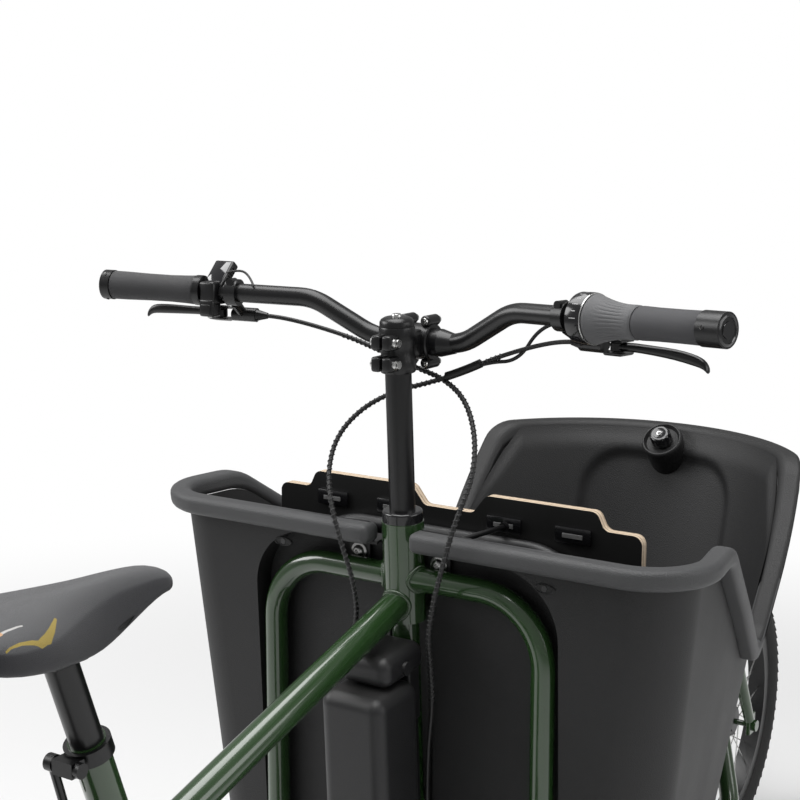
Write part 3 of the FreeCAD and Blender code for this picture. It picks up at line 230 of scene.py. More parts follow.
# %% Node group: dust that settles on upward faces
dust_group, given, result = new_group(
    "settled_dust",
    [("Amount", FLOAT, 0.1), ("Patch Size", FLOAT, 14.0)],
    [("Mask", FLOAT)])
place = add(dust_group, "ShaderNodeTexCoord")
shape = add(dust_group, "ShaderNodeNewGeometry")
split = add(dust_group, "ShaderNodeSeparateXYZ")
link(dust_group, shape, "Normal", split, 0)
upward = add(dust_group, "ShaderNodeMapRange")
upward.inputs["From Min"].default_value = 0.2
upward.inputs["From Max"].default_value = 1.0
tree = dust_group
tree.links.new(split.outputs["Z"], upward.inputs["Value"])
patch = add(dust_group, "ShaderNodeTexNoise")
patch.inputs["Detail"].default_value = 8.0
link(dust_group, place, "Object", patch, "Vector")
link(dust_group, given, "Patch Size", patch, "Scale")
both = add(dust_group, "ShaderNodeMath", operation="MULTIPLY")
tree.links.new(upward.outputs["Result"], both.inputs[0])
link(dust_group, patch, "Fac", both, 1)
scaled = add(dust_group, "ShaderNodeMath", operation="MULTIPLY")
link(dust_group, both, 0, scaled, 0)
link(dust_group, given, "Amount", scaled, 1)
link(dust_group, scaled, 0, result, "Mask")
print("node groups:", [g.name for g in bpy.data.node_groups])

# %% [markdown]
# Finishes.  One function makes the plain mouldings, metals and paints: a base colour that
# drifts a little, a roughness that follows the same drift, and a bump for the grain.  What is
# the same all over, such as metallic or coat, is set on the shader itself.

# %% A finish from the shared groups
def finish(name, colour, rough, grain=(900.0, 0.4), bump=0.1, drift=0.25, dust=0.08, mottle=9.0,
           metallic=0.0, coat=0.0, coat_rough=0.05, sheen=0.0, specular=0.5):
    material, tree, shader = new_material(name)
    shader.inputs["Metallic"].default_value = metallic
    shader.inputs["Coat Weight"].default_value = coat
    shader.inputs["Coat Roughness"].default_value = coat_rough
    shader.inputs["Sheen Weight"].default_value = sheen
    shader.inputs["Specular IOR Level"].default_value = specular
    grained = add(tree, "ShaderNodeGroup")
    grained.node_tree = grain_group
    grained.inputs["Grain Size"].default_value = grain[0]
    grained.inputs["Grain Depth"].default_value = grain[1]
    grained.inputs["Mottle Size"].default_value = mottle
    dusty = add(tree, "ShaderNodeGroup")
    dusty.node_tree = dust_group
    dusty.inputs["Amount"].default_value = dust
    tint = add(tree, "ShaderNodeMix", data_type="RGBA")
    link(tree, grained, "Mottle", tint, "Factor")
    tint.inputs[6].default_value = tuple(c * (1 - drift) for c in colour) + (1,)
    tint.inputs[7].default_value = tuple(min(1.0, c * (1 + drift)) for c in colour) + (1,)
    dusted = add(tree, "ShaderNodeMix", data_type="RGBA")
    link(tree, dusty, "Mask", dusted, "Factor")
    tree.links.new(tint.outputs[2], dusted.inputs[6])
    dusted.inputs[7].default_value = (0.30, 0.29, 0.27, 1)
    tree.links.new(dusted.outputs[2], shader.inputs["Base Color"])
    worn = add(tree, "ShaderNodeMapRange")
    tree.links.new(grained.outputs["Mottle"], worn.inputs["Value"])
    worn.inputs["To Min"].default_value = rough - 0.06
    worn.inputs["To Max"].default_value = rough + 0.06
    tree.links.new(worn.outputs["Result"], shader.inputs["Roughness"])
    relief = add(tree, "ShaderNodeBump")
    relief.inputs["Strength"].default_value = bump
    relief.inputs["Distance"].default_value = 0.001
    link(tree, grained, "Height", relief, "Height")
    link(tree, relief, "Normal", shader, "Normal")
    return material


green = finish("gloss_green_paint", (0.018, 0.050, 0.013), 0.24, grain=(420.0, 0.25), bump=0.05,
               drift=0.06, dust=0.01, coat=1.0, coat_rough=0.04)
charcoal = finish("charcoal_moulding", (0.013, 0.013, 0.0135), 0.58, grain=(700.0, 1.0), bump=0.30, drift=0.10,
                  dust=0.02)
lip_grey = finish("grained_lip", (0.062, 0.063, 0.065), 0.52, grain=(620.0, 1.0), bump=0.35, drift=0.08, dust=0.02)
satin_black = finish("satin_anodised", (0.005, 0.005, 0.0055), 0.30, grain=(1600.0, 0.5), bump=0.06, dust=0.01)
powder_black = finish("powder_coat", (0.010, 0.010, 0.011), 0.42, grain=(1100.0, 0.8), bump=0.18, dust=0.02)
gloss_black = finish("gloss_moulding", (0.008, 0.008, 0.009), 0.18, grain=(500.0, 0.2), bump=0.02, dust=0.01,
                     coat=0.4)
guard_black = finish("guard_moulding", (0.012, 0.012, 0.012), 0.50, grain=(900.0, 0.8), bump=0.15)
case_black = finish("battery_moulding", (0.012, 0.012, 0.013), 0.45, grain=(800.0, 0.9), bump=0.2)
motor_black = finish("cast_housing", (0.018, 0.018, 0.019), 0.48, grain=(600.0, 1.0), bump=0.25)
bright_steel = finish("bright_steel", (0.62, 0.62, 0.61), 0.26, grain=(1500.0, 0.6), bump=0.05, drift=0.08,
                      dust=0.02, metallic=1.0)
hub_black = finish("hub_shell", (0.05, 0.05, 0.052), 0.3, grain=(1500.0, 0.5), bump=0.05, metallic=1.0)
grip_grey = finish("grip_rubber", (0.032, 0.032, 0.034), 0.72, grain=(1500.0, 1.0), bump=0.35, drift=0.12,
                   sheen=0.1)
light_grip = finish("light_grip_rubber", (0.056, 0.056, 0.060), 0.70, grain=(1500.0, 1.0), bump=0.35, drift=0.12,
                    dust=0.02)
twist_grey = finish("twist_rubber", (0.105, 0.106, 0.110), 0.68, grain=(1500.0, 1.0), bump=0.3, drift=0.10,
                    sheen=0.1)
tyre_black = finish("tyre_rubber", (0.016, 0.016, 0.016), 0.78, grain=(800.0, 1.0), bump=0.3, drift=0.2)
belt_black = finish("belt_rubber", (0.012, 0.012, 0.012), 0.6, grain=(900.0, 1.0), bump=0.2)
hose_black = finish("hose_rubber", (0.010, 0.010, 0.010), 0.45, grain=(1200.0, 0.8), bump=0.15, dust=0.02)
saddle_grey = finish("saddle_cover", (0.055, 0.056, 0.060), 0.62, grain=(1300.0, 1.0), bump=0.4, drift=0.08,
                     sheen=0.15)
print("finishes:", len(bpy.data.materials))

# %% [markdown]
# Plywood.  The backrest and bench are birch ply with a black phenolic face: the face is a
# smooth dark film, and only the sawn edge shows the pale and brown layers.  The layers run
# across the thickness of the board, so they are drawn from the board's own coordinates.

# %% Ply finishes
def ply(name, across, middle, thick):
    material, tree, shader = new_material(name)
    place = add(tree, "ShaderNodeTexCoord")
    shape = add(tree, "ShaderNodeNewGeometry")
    flat = add(tree, "ShaderNodeVectorMath", operation="DOT_PRODUCT")
    link(tree, shape, "Normal", flat, 0)
    flat.inputs[1].default_value = tuple(across)
    size = add(tree, "ShaderNodeMath", operation="ABSOLUTE")
    tree.links.new(flat.outputs["Value"], size.inputs[0])
    film = add(tree, "ShaderNodeMath", operation="GREATER_THAN")
    link(tree, size, 0, film, 0)
    film.inputs[1].default_value = 0.85
    through = add(tree, "ShaderNodeVectorMath", operation="DOT_PRODUCT")
    link(tree, place, "Object", through, 0)
    through.inputs[1].default_value = tuple(across)
    layer = add(tree, "ShaderNodeMath", operation="MULTIPLY_ADD")
    tree.links.new(through.outputs["Value"], layer.inputs[0])
    layer.inputs[1].default_value = 1 / (thick / 4)
    layer.inputs[2].default_value = 0.5 - middle / (thick / 4)
    band = add(tree, "ShaderNodeMath", operation="PINGPONG")
    link(tree, layer, 0, band, 0)
    band.inputs[1].default_value = 1.0
    fibre = add(tree, "ShaderNodeTexNoise")
    fibre.inputs["Scale"].default_value = 260.0
    fibre.inputs["Detail"].default_value = 4.0
    link(tree, place, "Object", fibre, "Vector")
    blur = add(tree, "ShaderNodeMath", operation="MULTIPLY_ADD")
    link(tree, fibre, "Fac", blur, 0)
    blur.inputs[1].default_value = 0.5
    link(tree, band, 0, blur, 2)
    ramp = add(tree, "ShaderNodeValToRGB")
    ramp.color_ramp.elements[0].color = (0.26, 0.17, 0.10, 1)
    ramp.color_ramp.elements[0].position = 0.25
    ramp.color_ramp.elements[1].color = (0.62, 0.50, 0.37, 1)
    ramp.color_ramp.elements[1].position = 0.62
    link(tree, blur, 0, ramp, "Fac")
    board = add(tree, "ShaderNodeMix", data_type="RGBA")
    link(tree, film, 0, board, "Factor")
    tree.links.new(ramp.outputs["Color"], board.inputs[6])
    board.inputs[7].default_value = (0.012, 0.012, 0.012, 1)
    tree.links.new(board.outputs[2], shader.inputs["Base Color"])
    smooth = add(tree, "ShaderNodeMapRange")
    link(tree, film, 0, smooth, "Value")
    smooth.inputs["To Min"].default_value = 0.7
    smooth.inputs["To Max"].default_value = 0.38
    tree.links.new(smooth.outputs["Result"], shader.inputs["Roughness"])
    return material


low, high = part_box("backrest")
back_ply = ply("backrest_ply", X, (low[0] + high[0]) / 2, high[0] - low[0])
low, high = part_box("bench_seat")
seat_ply = ply("bench_ply", Z, (low[2] + high[2]) / 2, high[2] - low[2])
print("ply thickness", round(high[2] - low[2], 4))

# %% [markdown]
# Dressing.  Each engineered piece keeps its shape and only changes its material.

# %% Give every engineered piece its finish
FINISHES = {
    green: ["head_tube", "column_housing", "main_tube", "cargo_hoop", "lower_frame", "front_head_tube",
            "seat_tube", "rear_stays", "fork"],
    charcoal: ["box_tub"],
    lip_grey: ["box_lip"],
    satin_black: ["column_tube", "stem", "handlebar", "grip_clamps", "brake_bodies", "brake_lever_left",
                  "brake_lever_right", "seat_collar", "seatpost", "seat_lever", "cranks", "rear_caliper",
                  "front_caliper", "front_rim", "rear_rim"],
    powder_black: ["bench_loop", "steering_arm", "tie_rod", "centre_stand"],
    gloss_black: ["headset_bearings", "knob", "belt_brackets", "shifter_body", "display"],
    guard_black: ["rear_guard", "front_guard", "pedal_left", "pedal_right"],
    case_black: ["battery", "battery_cradle"],
    motor_black: ["drive_unit"],
    bright_steel: ["rear_axle", "box_fixings", "stem_bolts", "front_spokes", "rear_spokes", "belt_pulley"],
    hub_black: ["front_hub", "rear_hub"],
    grip_grey: ["grip_left", "grip_right"],
    twist_grey: ["shift_twist"],
    tyre_black: ["front_tyre", "rear_tyre"],
    belt_black: ["drive_belt"],
    hose_black: ["brake_hoses"],
    saddle_grey: ["saddle"],
    back_ply: ["backrest"],
    seat_ply: ["bench_seat"],
}
for material, names in FINISHES.items():
    for name in names:
        mesh = frame["nodes"][name].data
        mesh.materials.clear()
        mesh.materials.append(material)
print("dressed", sum(len(names) for names in FINISHES.values()), "of", len(frame["nodes"]), "pieces")

# %% [markdown]
# Helpers for turned and lofted pieces.  Grips, caps and rings are turned: a profile of
# (distance along, radius) points is spun round its axis.  Levers and the saddle are lofted: one
# ring is extruded from station to station.  Both start from a few vertices and let the
# operators make the faces.

# %% Turn a profile about an axis
def finish_piece(bm, name, body, material, crease=35.0):
    bmesh.ops.remove_doubles(bm, verts=bm.verts, dist=1e-6)
    bmesh.ops.recalc_face_normals(bm, faces=bm.faces)
    mesh = bpy.data.meshes.new(name)
    bm.to_mesh(mesh)
    bm.free()
    mesh.shade_smooth()
    mesh.set_sharp_from_angle(angle=radians(crease))
    mesh.materials.append(material)
    piece = bpy.data.objects.new(name, mesh)
    scene.collection.objects.link(piece)
    if body:
        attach(piece, body)
    print(name, len(mesh.polygons), "faces")
    return piece


def along_axis(start, direction):
    """Matrix that takes +Z to a direction and the origin to a start point."""
    return Matrix.Translation(start) @ Vector(direction).to_track_quat("Z", "Y").to_matrix().to_4x4()


def spin_profile(bm, profile, steps=48):
    """Adds a turned shape; the profile is (distance along, radius) in millimetres."""
    verts = [bm.verts.new((r * MM, 0, d * MM)) for d, r in profile]
    edges = [bm.edges.new(pair) for pair in zip(verts, verts[1:])]
    bmesh.ops.spin(bm, geom=verts + edges, cent=(0, 0, 0), axis=(0, 0, 1), angle=2 * pi, steps=steps,
                   use_merge=True, use_duplicate=False)


def turned(name, profile, start, direction, body, material, steps=48, crease=35.0):
    bm = bmesh.new()
    spin_profile(bm, profile, steps)
    bmesh.ops.transform(bm, matrix=along_axis(start, direction), verts=bm.verts)
    return finish_piece(bm, name, body, material, crease)


# %% Loft a ring along stations
def ring_stations(name, stations, body, material, sides=20, square=2.0, crease=60.0):
    """Each station is (centre, side direction, half width, up direction, half height) in metres."""
    bm = bmesh.new()
    ring = bmesh.ops.create_circle(bm, segments=sides, radius=1.0)["verts"]
    shape = [(v.co.x, v.co.y) for v in ring]

    def place(verts, station):
        centre, side, half_w, up, half_h = station
        for v, (x, y) in zip(verts, shape):
            bulge = (abs(x) ** square + abs(y) ** square) ** (-1 / square)
            v.co = centre + side * (x * bulge * half_w) + up * (y * bulge * half_h)

    place(ring, stations[0])
    bm.faces.new(ring)
    for station in stations[1:]:
        edges = [bm.edges.get((ring[i], ring[(i + 1) % sides])) for i in range(sides)]
        grown = bmesh.ops.extrude_edge_only(bm, edges=edges)
        fresh = [g for g in grown["geom"] if isinstance(g, bmesh.types.BMVert)]
        order = []
        for v in ring:
            order.append(next(w for w in fresh if bm.edges.get((v, w))))
        ring = order
        place(ring, station)
    bm.faces.new(ring)
    return finish_piece(bm, name, body, material, crease)


# %% [markdown]
# Left grip.  A lock-on grip is a rubber sleeve between two hard parts: the end cap, whose face
# has a ring-shaped recess, and the clamp ring with its screw.  Turning gives all three, and
# the slight waist of the rubber comes straight from the profile.

# %% Grips and their caps
GRIP_R, BAR_R = 16.8, 11.3
END_CAP = [(-1.2, 0), (-1.2, 8.5), (0.6, 9.2), (0.6, 12.4), (-1.0, 13.2), (-0.6, 15.4), (1.2, 17.4), (10.8, 17.8),
           (11.8, 17.3), (11.8, BAR_R)]
turned("end_cap_left", END_CAP, LEFT_END, LEFT_IN, "steering", gloss_black)
left_rubber = turned(
    "left_grip_rubber",
    [(12.2, BAR_R), (12.2, 16.2), (13.4, 17.2), (30, 17.1), (60, 16.3), (90, 16.1), (112, 16.8), (122, 17.4),
     (123.7, 16.9), (123.7, BAR_R)], LEFT_END, LEFT_IN, "steering", grip_grey, steps=64)
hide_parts("grip_left")
turned("clamp_ring_left", [(124, BAR_R), (124, 17.4), (125, 18.2), (131.8, 18.2), (132.8, 17.4), (132.8, BAR_R)],
       LEFT_END, LEFT_IN, "steering", satin_black)
RIGHT_CAP = [(-1.2, 0), (-1.2, 8.5), (0.6, 9.2), (0.6, 12.4), (-1.0, 13.2), (-0.4, 15.6), (1.6, 17.6), (25, 17.9),
             (26, 17.3), (26, BAR_R)]
turned("end_cap_right", RIGHT_CAP, RIGHT_END, RIGHT_IN, "steering", gloss_black)
right_rubber = turned(
    "right_grip_rubber",
    [(26.4, BAR_R), (26.4, 16.3), (27.6, 17.0), (50, 16.8), (80, 16.9), (98, 17.4), (102.4, 17.2), (103.6, 16.4),
     (103.6, BAR_R)], RIGHT_END, RIGHT_IN, "steering", light_grip, steps=64)
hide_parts("grip_right")
for name, end, inward, at in (("left", LEFT_END, LEFT_IN, 6.0), ("right", RIGHT_END, RIGHT_IN, 18.0)):
    bm = bmesh.new()
    for turn in (40, 160, 280):
        out = Matrix.Rotation(radians(turn), 3, inward) @ Z
        spin_profile(bm, [(0, 0), (0, 1.6), (1.2, 2.0)], 12)
        loose = [v for v in bm.verts if not v.tag]
        bmesh.ops.transform(bm, matrix=along_axis(end + inward * at * MM + out * 17.6 * MM, out), verts=loose)
        for v in bm.verts:
            v.tag = True
    finish_piece(bm, "grip_screws_" + name, "steering", bright_steel)

# %% [markdown]
# Twist shifter.  The barrel flares towards the housing so that the hand can't slide inboard.
# Its rubber has fine lengthwise grooves; after spinning, each vertex in the ribbed stretch is
# moved in or out by a cosine of its angle, which is cheaper than cutting grooves one by one.

# %% Twist barrel, housing band and index marks
RIBS, RIB_DEPTH, RIB_FROM, RIB_TO = 30, 0.55, 112.0, 146.0
bm = bmesh.new()
barrel = [(104.4, BAR_R), (104.4, 16.8), (105.8, 17.8), (110, 17.9)]
barrel += [(d, 17.9 + 8.0 * max(0.0, (d - 118) / 40) ** 1.7) for d in range(112, 157, 4)]
barrel += [(158.2, 26.0), (159.8, 25.2), (159.8, BAR_R)]
spin_profile(bm, barrel, steps=180)
for v in bm.verts:
    d = v.co.z / MM
    if RIB_FROM <= d <= RIB_TO and v.co.xy.length > 15 * MM:
        groove = 0.5 + 0.5 * cos(RIBS * atan2(v.co.y, v.co.x))
        fade_in = min(1.0, (d - RIB_FROM) / 6, (RIB_TO - d) / 6)
        v.co.xy -= v.co.xy.normalized() * (groove ** 4 * RIB_DEPTH * fade_in * MM)
bmesh.ops.transform(bm, matrix=along_axis(RIGHT_END, RIGHT_IN), verts=bm.verts)
barrel_piece = finish_piece(bm, "twist_barrel", "twist_grip", twist_grey, 50.0)
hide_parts("shift_twist")
turned("shifter_band", [(161.2, 25.6), (161.2, 26.9), (162, 27.4), (177.6, 27.4), (178.4, 26.6), (178.4, 25.6)],
       RIGHT_END, RIGHT_IN, "steering", gloss_black, steps=72)
turned("shifter_trim_ring", [(159.95, 25.4), (159.95, 27.0), (160.9, 27.2), (161.1, 25.6)], RIGHT_END, RIGHT_IN, "steering",
       bright_steel, steps=72)
pale_print = finish("pale_print", (0.42, 0.42, 0.42), 0.5, drift=0.05, dust=0.0)
bm = bmesh.new()
for turn in range(-64, 65, 16):
    out = Matrix.Rotation(radians(turn - 20), 3, RIGHT_IN) @ Z
    mark = bmesh.ops.create_cube(bm, size=1.0)["verts"]
    bmesh.ops.scale(bm, vec=(0.9 * MM, 5.0 * MM if turn % 32 else 8.0 * MM, 0.4 * MM), verts=mark)
    turn_to = Matrix((RIGHT_IN.cross(out), RIGHT_IN, out)).transposed().to_4x4()
    bmesh.ops.transform(bm, matrix=Matrix.Translation(RIGHT_END + RIGHT_IN * 170 * MM + out * 27.4 * MM) @ turn_to,
                        verts=mark)
finish_piece(bm, "shifter_marks", "steering", pale_print)

# %% [markdown]
# Display.  A small case sits on its clamp and faces the rider.  It is a box with bevelled
# edges and a row of small ribs on each side, and the glass is a thin bevelled pane laid on its face.

# %% Display case and glass
DISPLAY_AT, DISPLAY_TILT = 149.0, 43.0
display_at = LEFT_END + LEFT_IN * DISPLAY_AT * MM
case_turn = Matrix.Rotation(radians(DISPLAY_TILT), 4, "Y")
case_place = Matrix.Translation(display_at + Vector((4.5, 0, 21.5)) * MM) @ case_turn


def bevelled_box(bm, low, high, radius, matrix, segments=3):
    """A box from corner to corner in millimetres, with rounded edges, placed by a matrix."""
    low, high = Vector(low) * MM, Vector(high) * MM
    verts = bmesh.ops.create_cube(bm, size=1.0)["verts"]
    bmesh.ops.scale(bm, vec=high - low, verts=verts)
    bmesh.ops.translate(bm, vec=(low + high) / 2, verts=verts)
    bmesh.ops.transform(bm, matrix=matrix, verts=verts)
    edges = list({e for v in verts for e in v.link_edges})
    bmesh.ops.bevel(bm, geom=edges, offset=radius * MM, segments=segments, profile=0.5, affect="EDGES",
                    material=-1)


bm = bmesh.new()
bevelled_box(bm, (0, -14.5, -19), (12, 14.5, 20), 2.6, case_place)
for y in (-14.5, 14.5):
    for z in range(-13, 15, 4):
        bevelled_box(bm, (2.5, y - 0.7, z), (10, y + 0.7, z + 2.2), 0.3, case_place, 1)
clamp_turn = Matrix.Translation(display_at)
bevelled_box(bm, (-19, -11, -15), (15, 11, 13), 3.4, clamp_turn)
bevelled_box(bm, (-20, -10.5, -29), (-3, 10.5, -8), 2.8, clamp_turn)
bevelled_box(bm, (-21.4, -7, -26), (-19, 7, -14), 1.0, clamp_turn)
case_piece = finish_piece(bm, "display_case", "steering", satin_black)
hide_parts("display")
screen_glass, tree, shader = new_material("screen_glass")
shader.inputs["Base Color"].default_value = (0.004, 0.004, 0.006, 1)
shader.inputs["Roughness"].default_value = 0.06
shader.inputs["Coat Weight"].default_value = 1.0
smear = add(tree, "ShaderNodeTexNoise")
smear.inputs["Scale"].default_value = 60.0
place = add(tree, "ShaderNodeTexCoord")
link(tree, place, "Object", smear, "Vector")
smudge = add(tree, "ShaderNodeMapRange")
smudge.inputs["To Min"].default_value = 0.03
smudge.inputs["To Max"].default_value = 0.16
link(tree, smear, "Fac", smudge, "Value")
tree.links.new(smudge.outputs["Result"], shader.inputs["Roughness"])
bm = bmesh.new()
bevelled_box(bm, (-0.5, -11.6, -16), (0.6, 11.6, 17), 0.4, case_place, 2)
finish_piece(bm, "display_glass", "steering", screen_glass)
turned("display_clamp_screw", [(0, 0), (0, 1.6), (0.8, 2.6), (2.2, 2.9), (5, 2.9)],
       display_at + Vector((-12, 0, -31.5)) * MM, Z, "steering", bright_steel, steps=20)

# %% [markdown]
# Saddle.  Under its cover a saddle is foam on a shell: crowned along the nose, flared and
# nearly flat at the back, with a deep skirt that hides the rails.  Rings are lofted from the
# tip to the tail, the underside is pushed up to leave the hollow, and one level of
# subdivision rounds what is between the rings.

# %% Saddle loft
saddle_low, saddle_high = [Vector(corner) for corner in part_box("saddle")]
SADDLE_TIP = Vector((saddle_high.x, 0, 0.886))
SADDLE_STATIONS = [(-1, 5, 4, -8), (-6, 13, 9, -5), (-16, 18, 13, -2), (-34, 20, 18, -2), (-60, 22, 26, -7),
                   (-84, 24, 33, -12), (-112, 29, 38, -16), (-145, 41, 37, -13), (-172, 53, 34, -9), (-200, 66, 31, -5),
                   (-232, 75, 28, 1), (-254, 73, 25, 4), (-266, 62, 20, 6), (-271, 44, 12, 8)]
stations = [(SADDLE_TIP + Vector((dx, 0, dz)) * MM, Y, hw * MM, Z, hh * MM) for dx, hw, hh, dz in SADDLE_STATIONS]
saddle = ring_stations("saddle_cover", stations, "seat", saddle_grey, sides=36, square=2.5,
                       crease=180.0)
HOLLOW = 22 * MM
bm = bmesh.new()
bm.from_mesh(saddle.data)
for v in bm.verts:
    behind = (SADDLE_TIP.x - v.co.x) / MM
    spot = min(SADDLE_STATIONS, key=lambda s: abs(-s[0] - behind))
    half_w, half_h, middle = spot[1] * MM, spot[2] * MM, SADDLE_TIP.z + spot[3] * MM
    down = (middle - v.co.z) / half_h
    if down > 0.55 and 30 < behind < 262:
        inside = max(0.0, 1 - (abs(v.co.y) / (half_w * 0.86)) ** 4)
        v.co.z += HOLLOW * inside
    if down < -0.5 and behind > 60:
        groove = max(0.0, 1 - (abs(v.co.y) / (9 * MM)) ** 2)
        v.co.z -= 2.5 * MM * groove * min(1.0, (behind - 60) / 40)
bm.to_mesh(saddle.data)
bm.free()
round_off = saddle.modifiers.new("round", "SUBSURF")
round_off.levels = round_off.render_levels = 1
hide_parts("saddle")

# %% [markdown]
# Saddle cover finish.  The cover is darker on its sides than on its top, so the colour
# follows how far the surface faces up.  A curved band and a short dash on each wing are
# drawn from the saddle's own coordinates: a band is where the distance to a line through
# listed points is less than a half width that tapers along it.

# %% Cover darker on its sides, with its stripes
material, tree, shader = saddle_grey, saddle_grey.node_tree, saddle_grey.node_tree.nodes["Principled BSDF"]
under = shader.inputs["Base Color"].links[0].from_socket
facing = add(tree, "ShaderNodeNewGeometry")
facing_parts = add(tree, "ShaderNodeSeparateXYZ")
link(tree, facing, "Normal", facing_parts, 0)
# Darker grey on the sides, where the surface turns more than about 60 degrees away from up.
side_mask = add(tree, "ShaderNodeMapRange", interpolation_type="SMOOTHSTEP")
tree.links.new(facing_parts.outputs["Z"], side_mask.inputs["Value"])
side_mask.inputs["From Min"].default_value = 0.50
side_mask.inputs["From Max"].default_value = 0.30
sides = add(tree, "ShaderNodeMix", data_type="RGBA")
tree.links.new(side_mask.outputs["Result"], sides.inputs["Factor"])
tree.links.new(under, sides.inputs[6])
sides.inputs[7].default_value = (0.020, 0.020, 0.024, 1)
place = add(tree, "ShaderNodeTexCoord")
parts = add(tree, "ShaderNodeSeparateXYZ")
link(tree, place, "Object", parts, 0)
wing = add(tree, "ShaderNodeMath", operation="ABSOLUTE")
tree.links.new(parts.outputs["Y"], wing.inputs[0])


def math(tree, operation, a, b=None, c=None):
    node = add(tree, "ShaderNodeMath", operation=operation)
    for slot_index, value in enumerate((a, b, c)):
        if value is None:
            continue
        if isinstance(value, (int, float)):
            node.inputs[slot_index].default_value = value
        else:
            tree.links.new(value, node.inputs[slot_index])
    return node.outputs[0]


def band_along(points, halves):
    """1 inside a tapering band on the wing that follows (x, distance out) points in metres."""
    inside = None
    for (a, b), (half_a, half_b) in zip(zip(points, points[1:]), zip(halves, halves[1:])):
        run_x, run_y = b[0] - a[0], b[1] - a[1]
        run = run_x * run_x + run_y * run_y
        to_x = math(tree, "SUBTRACT", parts.outputs["X"], a[0])
        to_y = math(tree, "SUBTRACT", wing.outputs[0], a[1])
        share = math(tree, "DIVIDE", math(tree, "ADD", math(tree, "MULTIPLY", to_x, run_x),
                                          math(tree, "MULTIPLY", to_y, run_y)), run)
        share = math(tree, "MINIMUM", math(tree, "MAXIMUM", share, 0.0), 1.0)
        gap_x = math(tree, "SUBTRACT", to_x, math(tree, "MULTIPLY", share, run_x))
        gap_y = math(tree, "SUBTRACT", to_y, math(tree, "MULTIPLY", share, run_y))
        gap = math(tree, "SQRT", math(tree, "ADD", math(tree, "MULTIPLY", gap_x, gap_x),
                                      math(tree, "MULTIPLY", gap_y, gap_y)))
        half = math(tree, "MULTIPLY_ADD", share, half_b - half_a, half_a)
        hit = math(tree, "LESS_THAN", gap, half)
        inside = hit if inside is None else math(tree, "MAXIMUM", inside, hit)
    return inside


def over(base, mask, colour):
    layer = add(tree, "ShaderNodeMix", data_type="RGBA")
    tree.links.new(mask, layer.inputs["Factor"])
    tree.links.new(base, layer.inputs[6])
    layer.inputs[7].default_value = colour
    return layer.outputs[2]


top_only = math(tree, "GREATER_THAN", facing_parts.outputs["Z"], 0.2)
OLIVE_BAND = [(-0.6511, 0.0465), (-0.6657, 0.0573), (-0.6768, 0.0640), (-0.6890, 0.0684), (-0.7216, 0.0664)]
OLIVE_HALF = [0.0011, 0.0022, 0.0027, 0.0019, 0.0006]
PALE_DASH = [(-0.6905, 0.0504), (-0.7149, 0.0526)]
ORANGE_DASH = [(-0.7149, 0.0526), (-0.7260, 0.0530)]
colour = over(sides.outputs[2], math(tree, "MULTIPLY", band_along(OLIVE_BAND, OLIVE_HALF), top_only),
              (0.30, 0.22, 0.035, 1))
colour = over(colour, math(tree, "MULTIPLY", band_along(PALE_DASH, [0.0009, 0.0013]), top_only),
              (0.45, 0.44, 0.43, 1))
colour = over(colour, math(tree, "MULTIPLY", band_along(ORANGE_DASH, [0.0022, 0.0026]), top_only),
              (0.50, 0.30, 0.16, 1))
tree.links.new(colour, shader.inputs["Base Color"])

# %% [markdown]
# Brake hoses.  Each hose runs from its lever across the front of the column, round its far
# side and down beside the battery.  A NURBS curve through the route's points gives the springy
# line of a real hose.  A flat band wound round the free loop keeps the hoses from rubbing; it is
# a helix that follows points read from the finished line.

# %% Hose routes
def ahead_of_column(x, y, z):
    return Vector((COLUMN_TOP.x + x * MM, y * MM, z * MM))


def hose_tail(side):
    return [ahead_of_column(x, side * y, z)
            for x, y, z in ((-2, 50, 640), (8, 38, 585), (14, 33, 525), (18, 31, 460), (21, 30, 400), (20, 25, 350),
                            (14, 14, 312))]


def hose_start(joint, inward):
    return [joint_place(joint) + inward * reach * MM for reach in (60, 84)]


LEFT_ROUTE = hose_start("brake_left", LEFT_IN) + [ahead_of_column(*p) for p in (
    (60, 112, 1049), (63, 62, 1033), (62, 14, 1018), (57, -28, 1009), (42, -66, 990), (16, -94, 954), (-8, -104, 914),
    (-34, -98, 872), (-38, -86, 826), (-34, -70, 776), (-26, -58, 730), (-14, -54, 694))] + hose_tail(-1)
RIGHT_ROUTE = hose_start("brake_right", RIGHT_IN) + [ahead_of_column(*p) for p in (
    (60, -96, 1040), (54, -56, 1020), (50, -12, 1004), (44, 30, 992), (30, 68, 970), (10, 90, 938), (-14, 86, 902),
    (-36, 66, 866), (-42, 48, 826), (-34, 38, 784), (-26, 37, 744), (-20, 48, 708))] + hose_tail(1)


def smooth_line(name, route, radius, order=3, cyclic=False):
    data = bpy.data.curves.new(name, "CURVE")
    data.dimensions = "3D"
    data.resolution_u = 8
    spline = data.splines.new("NURBS")
    spline.points.add(len(route) - 1)
    for point, at in zip(spline.points, route):
        point.co = (*at, 1)
    spline.order_u = order
    spline.use_endpoint_u = True
    data.bevel_depth = radius
    data.bevel_resolution = 3
    data.use_fill_caps = True
    return bpy.data.objects.new(name, data)


def as_mesh(curve, name):
    scene.collection.objects.link(curve)
    depsgraph = bpy.context.evaluated_depsgraph_get()
    mesh = bpy.data.meshes.new_from_object(curve.evaluated_get(depsgraph))
    mesh.name = name
    bpy.data.objects.remove(curve)
    return mesh


def line_points(route):
    mesh = as_mesh(smooth_line("guide", route, 0.0), "guide")
    return [v.co.copy() for v in mesh.vertices]


BEND_LOW, BEND_HIGH = ahead_of_column(0, 0, 690), ahead_of_column(0, 0, 990)


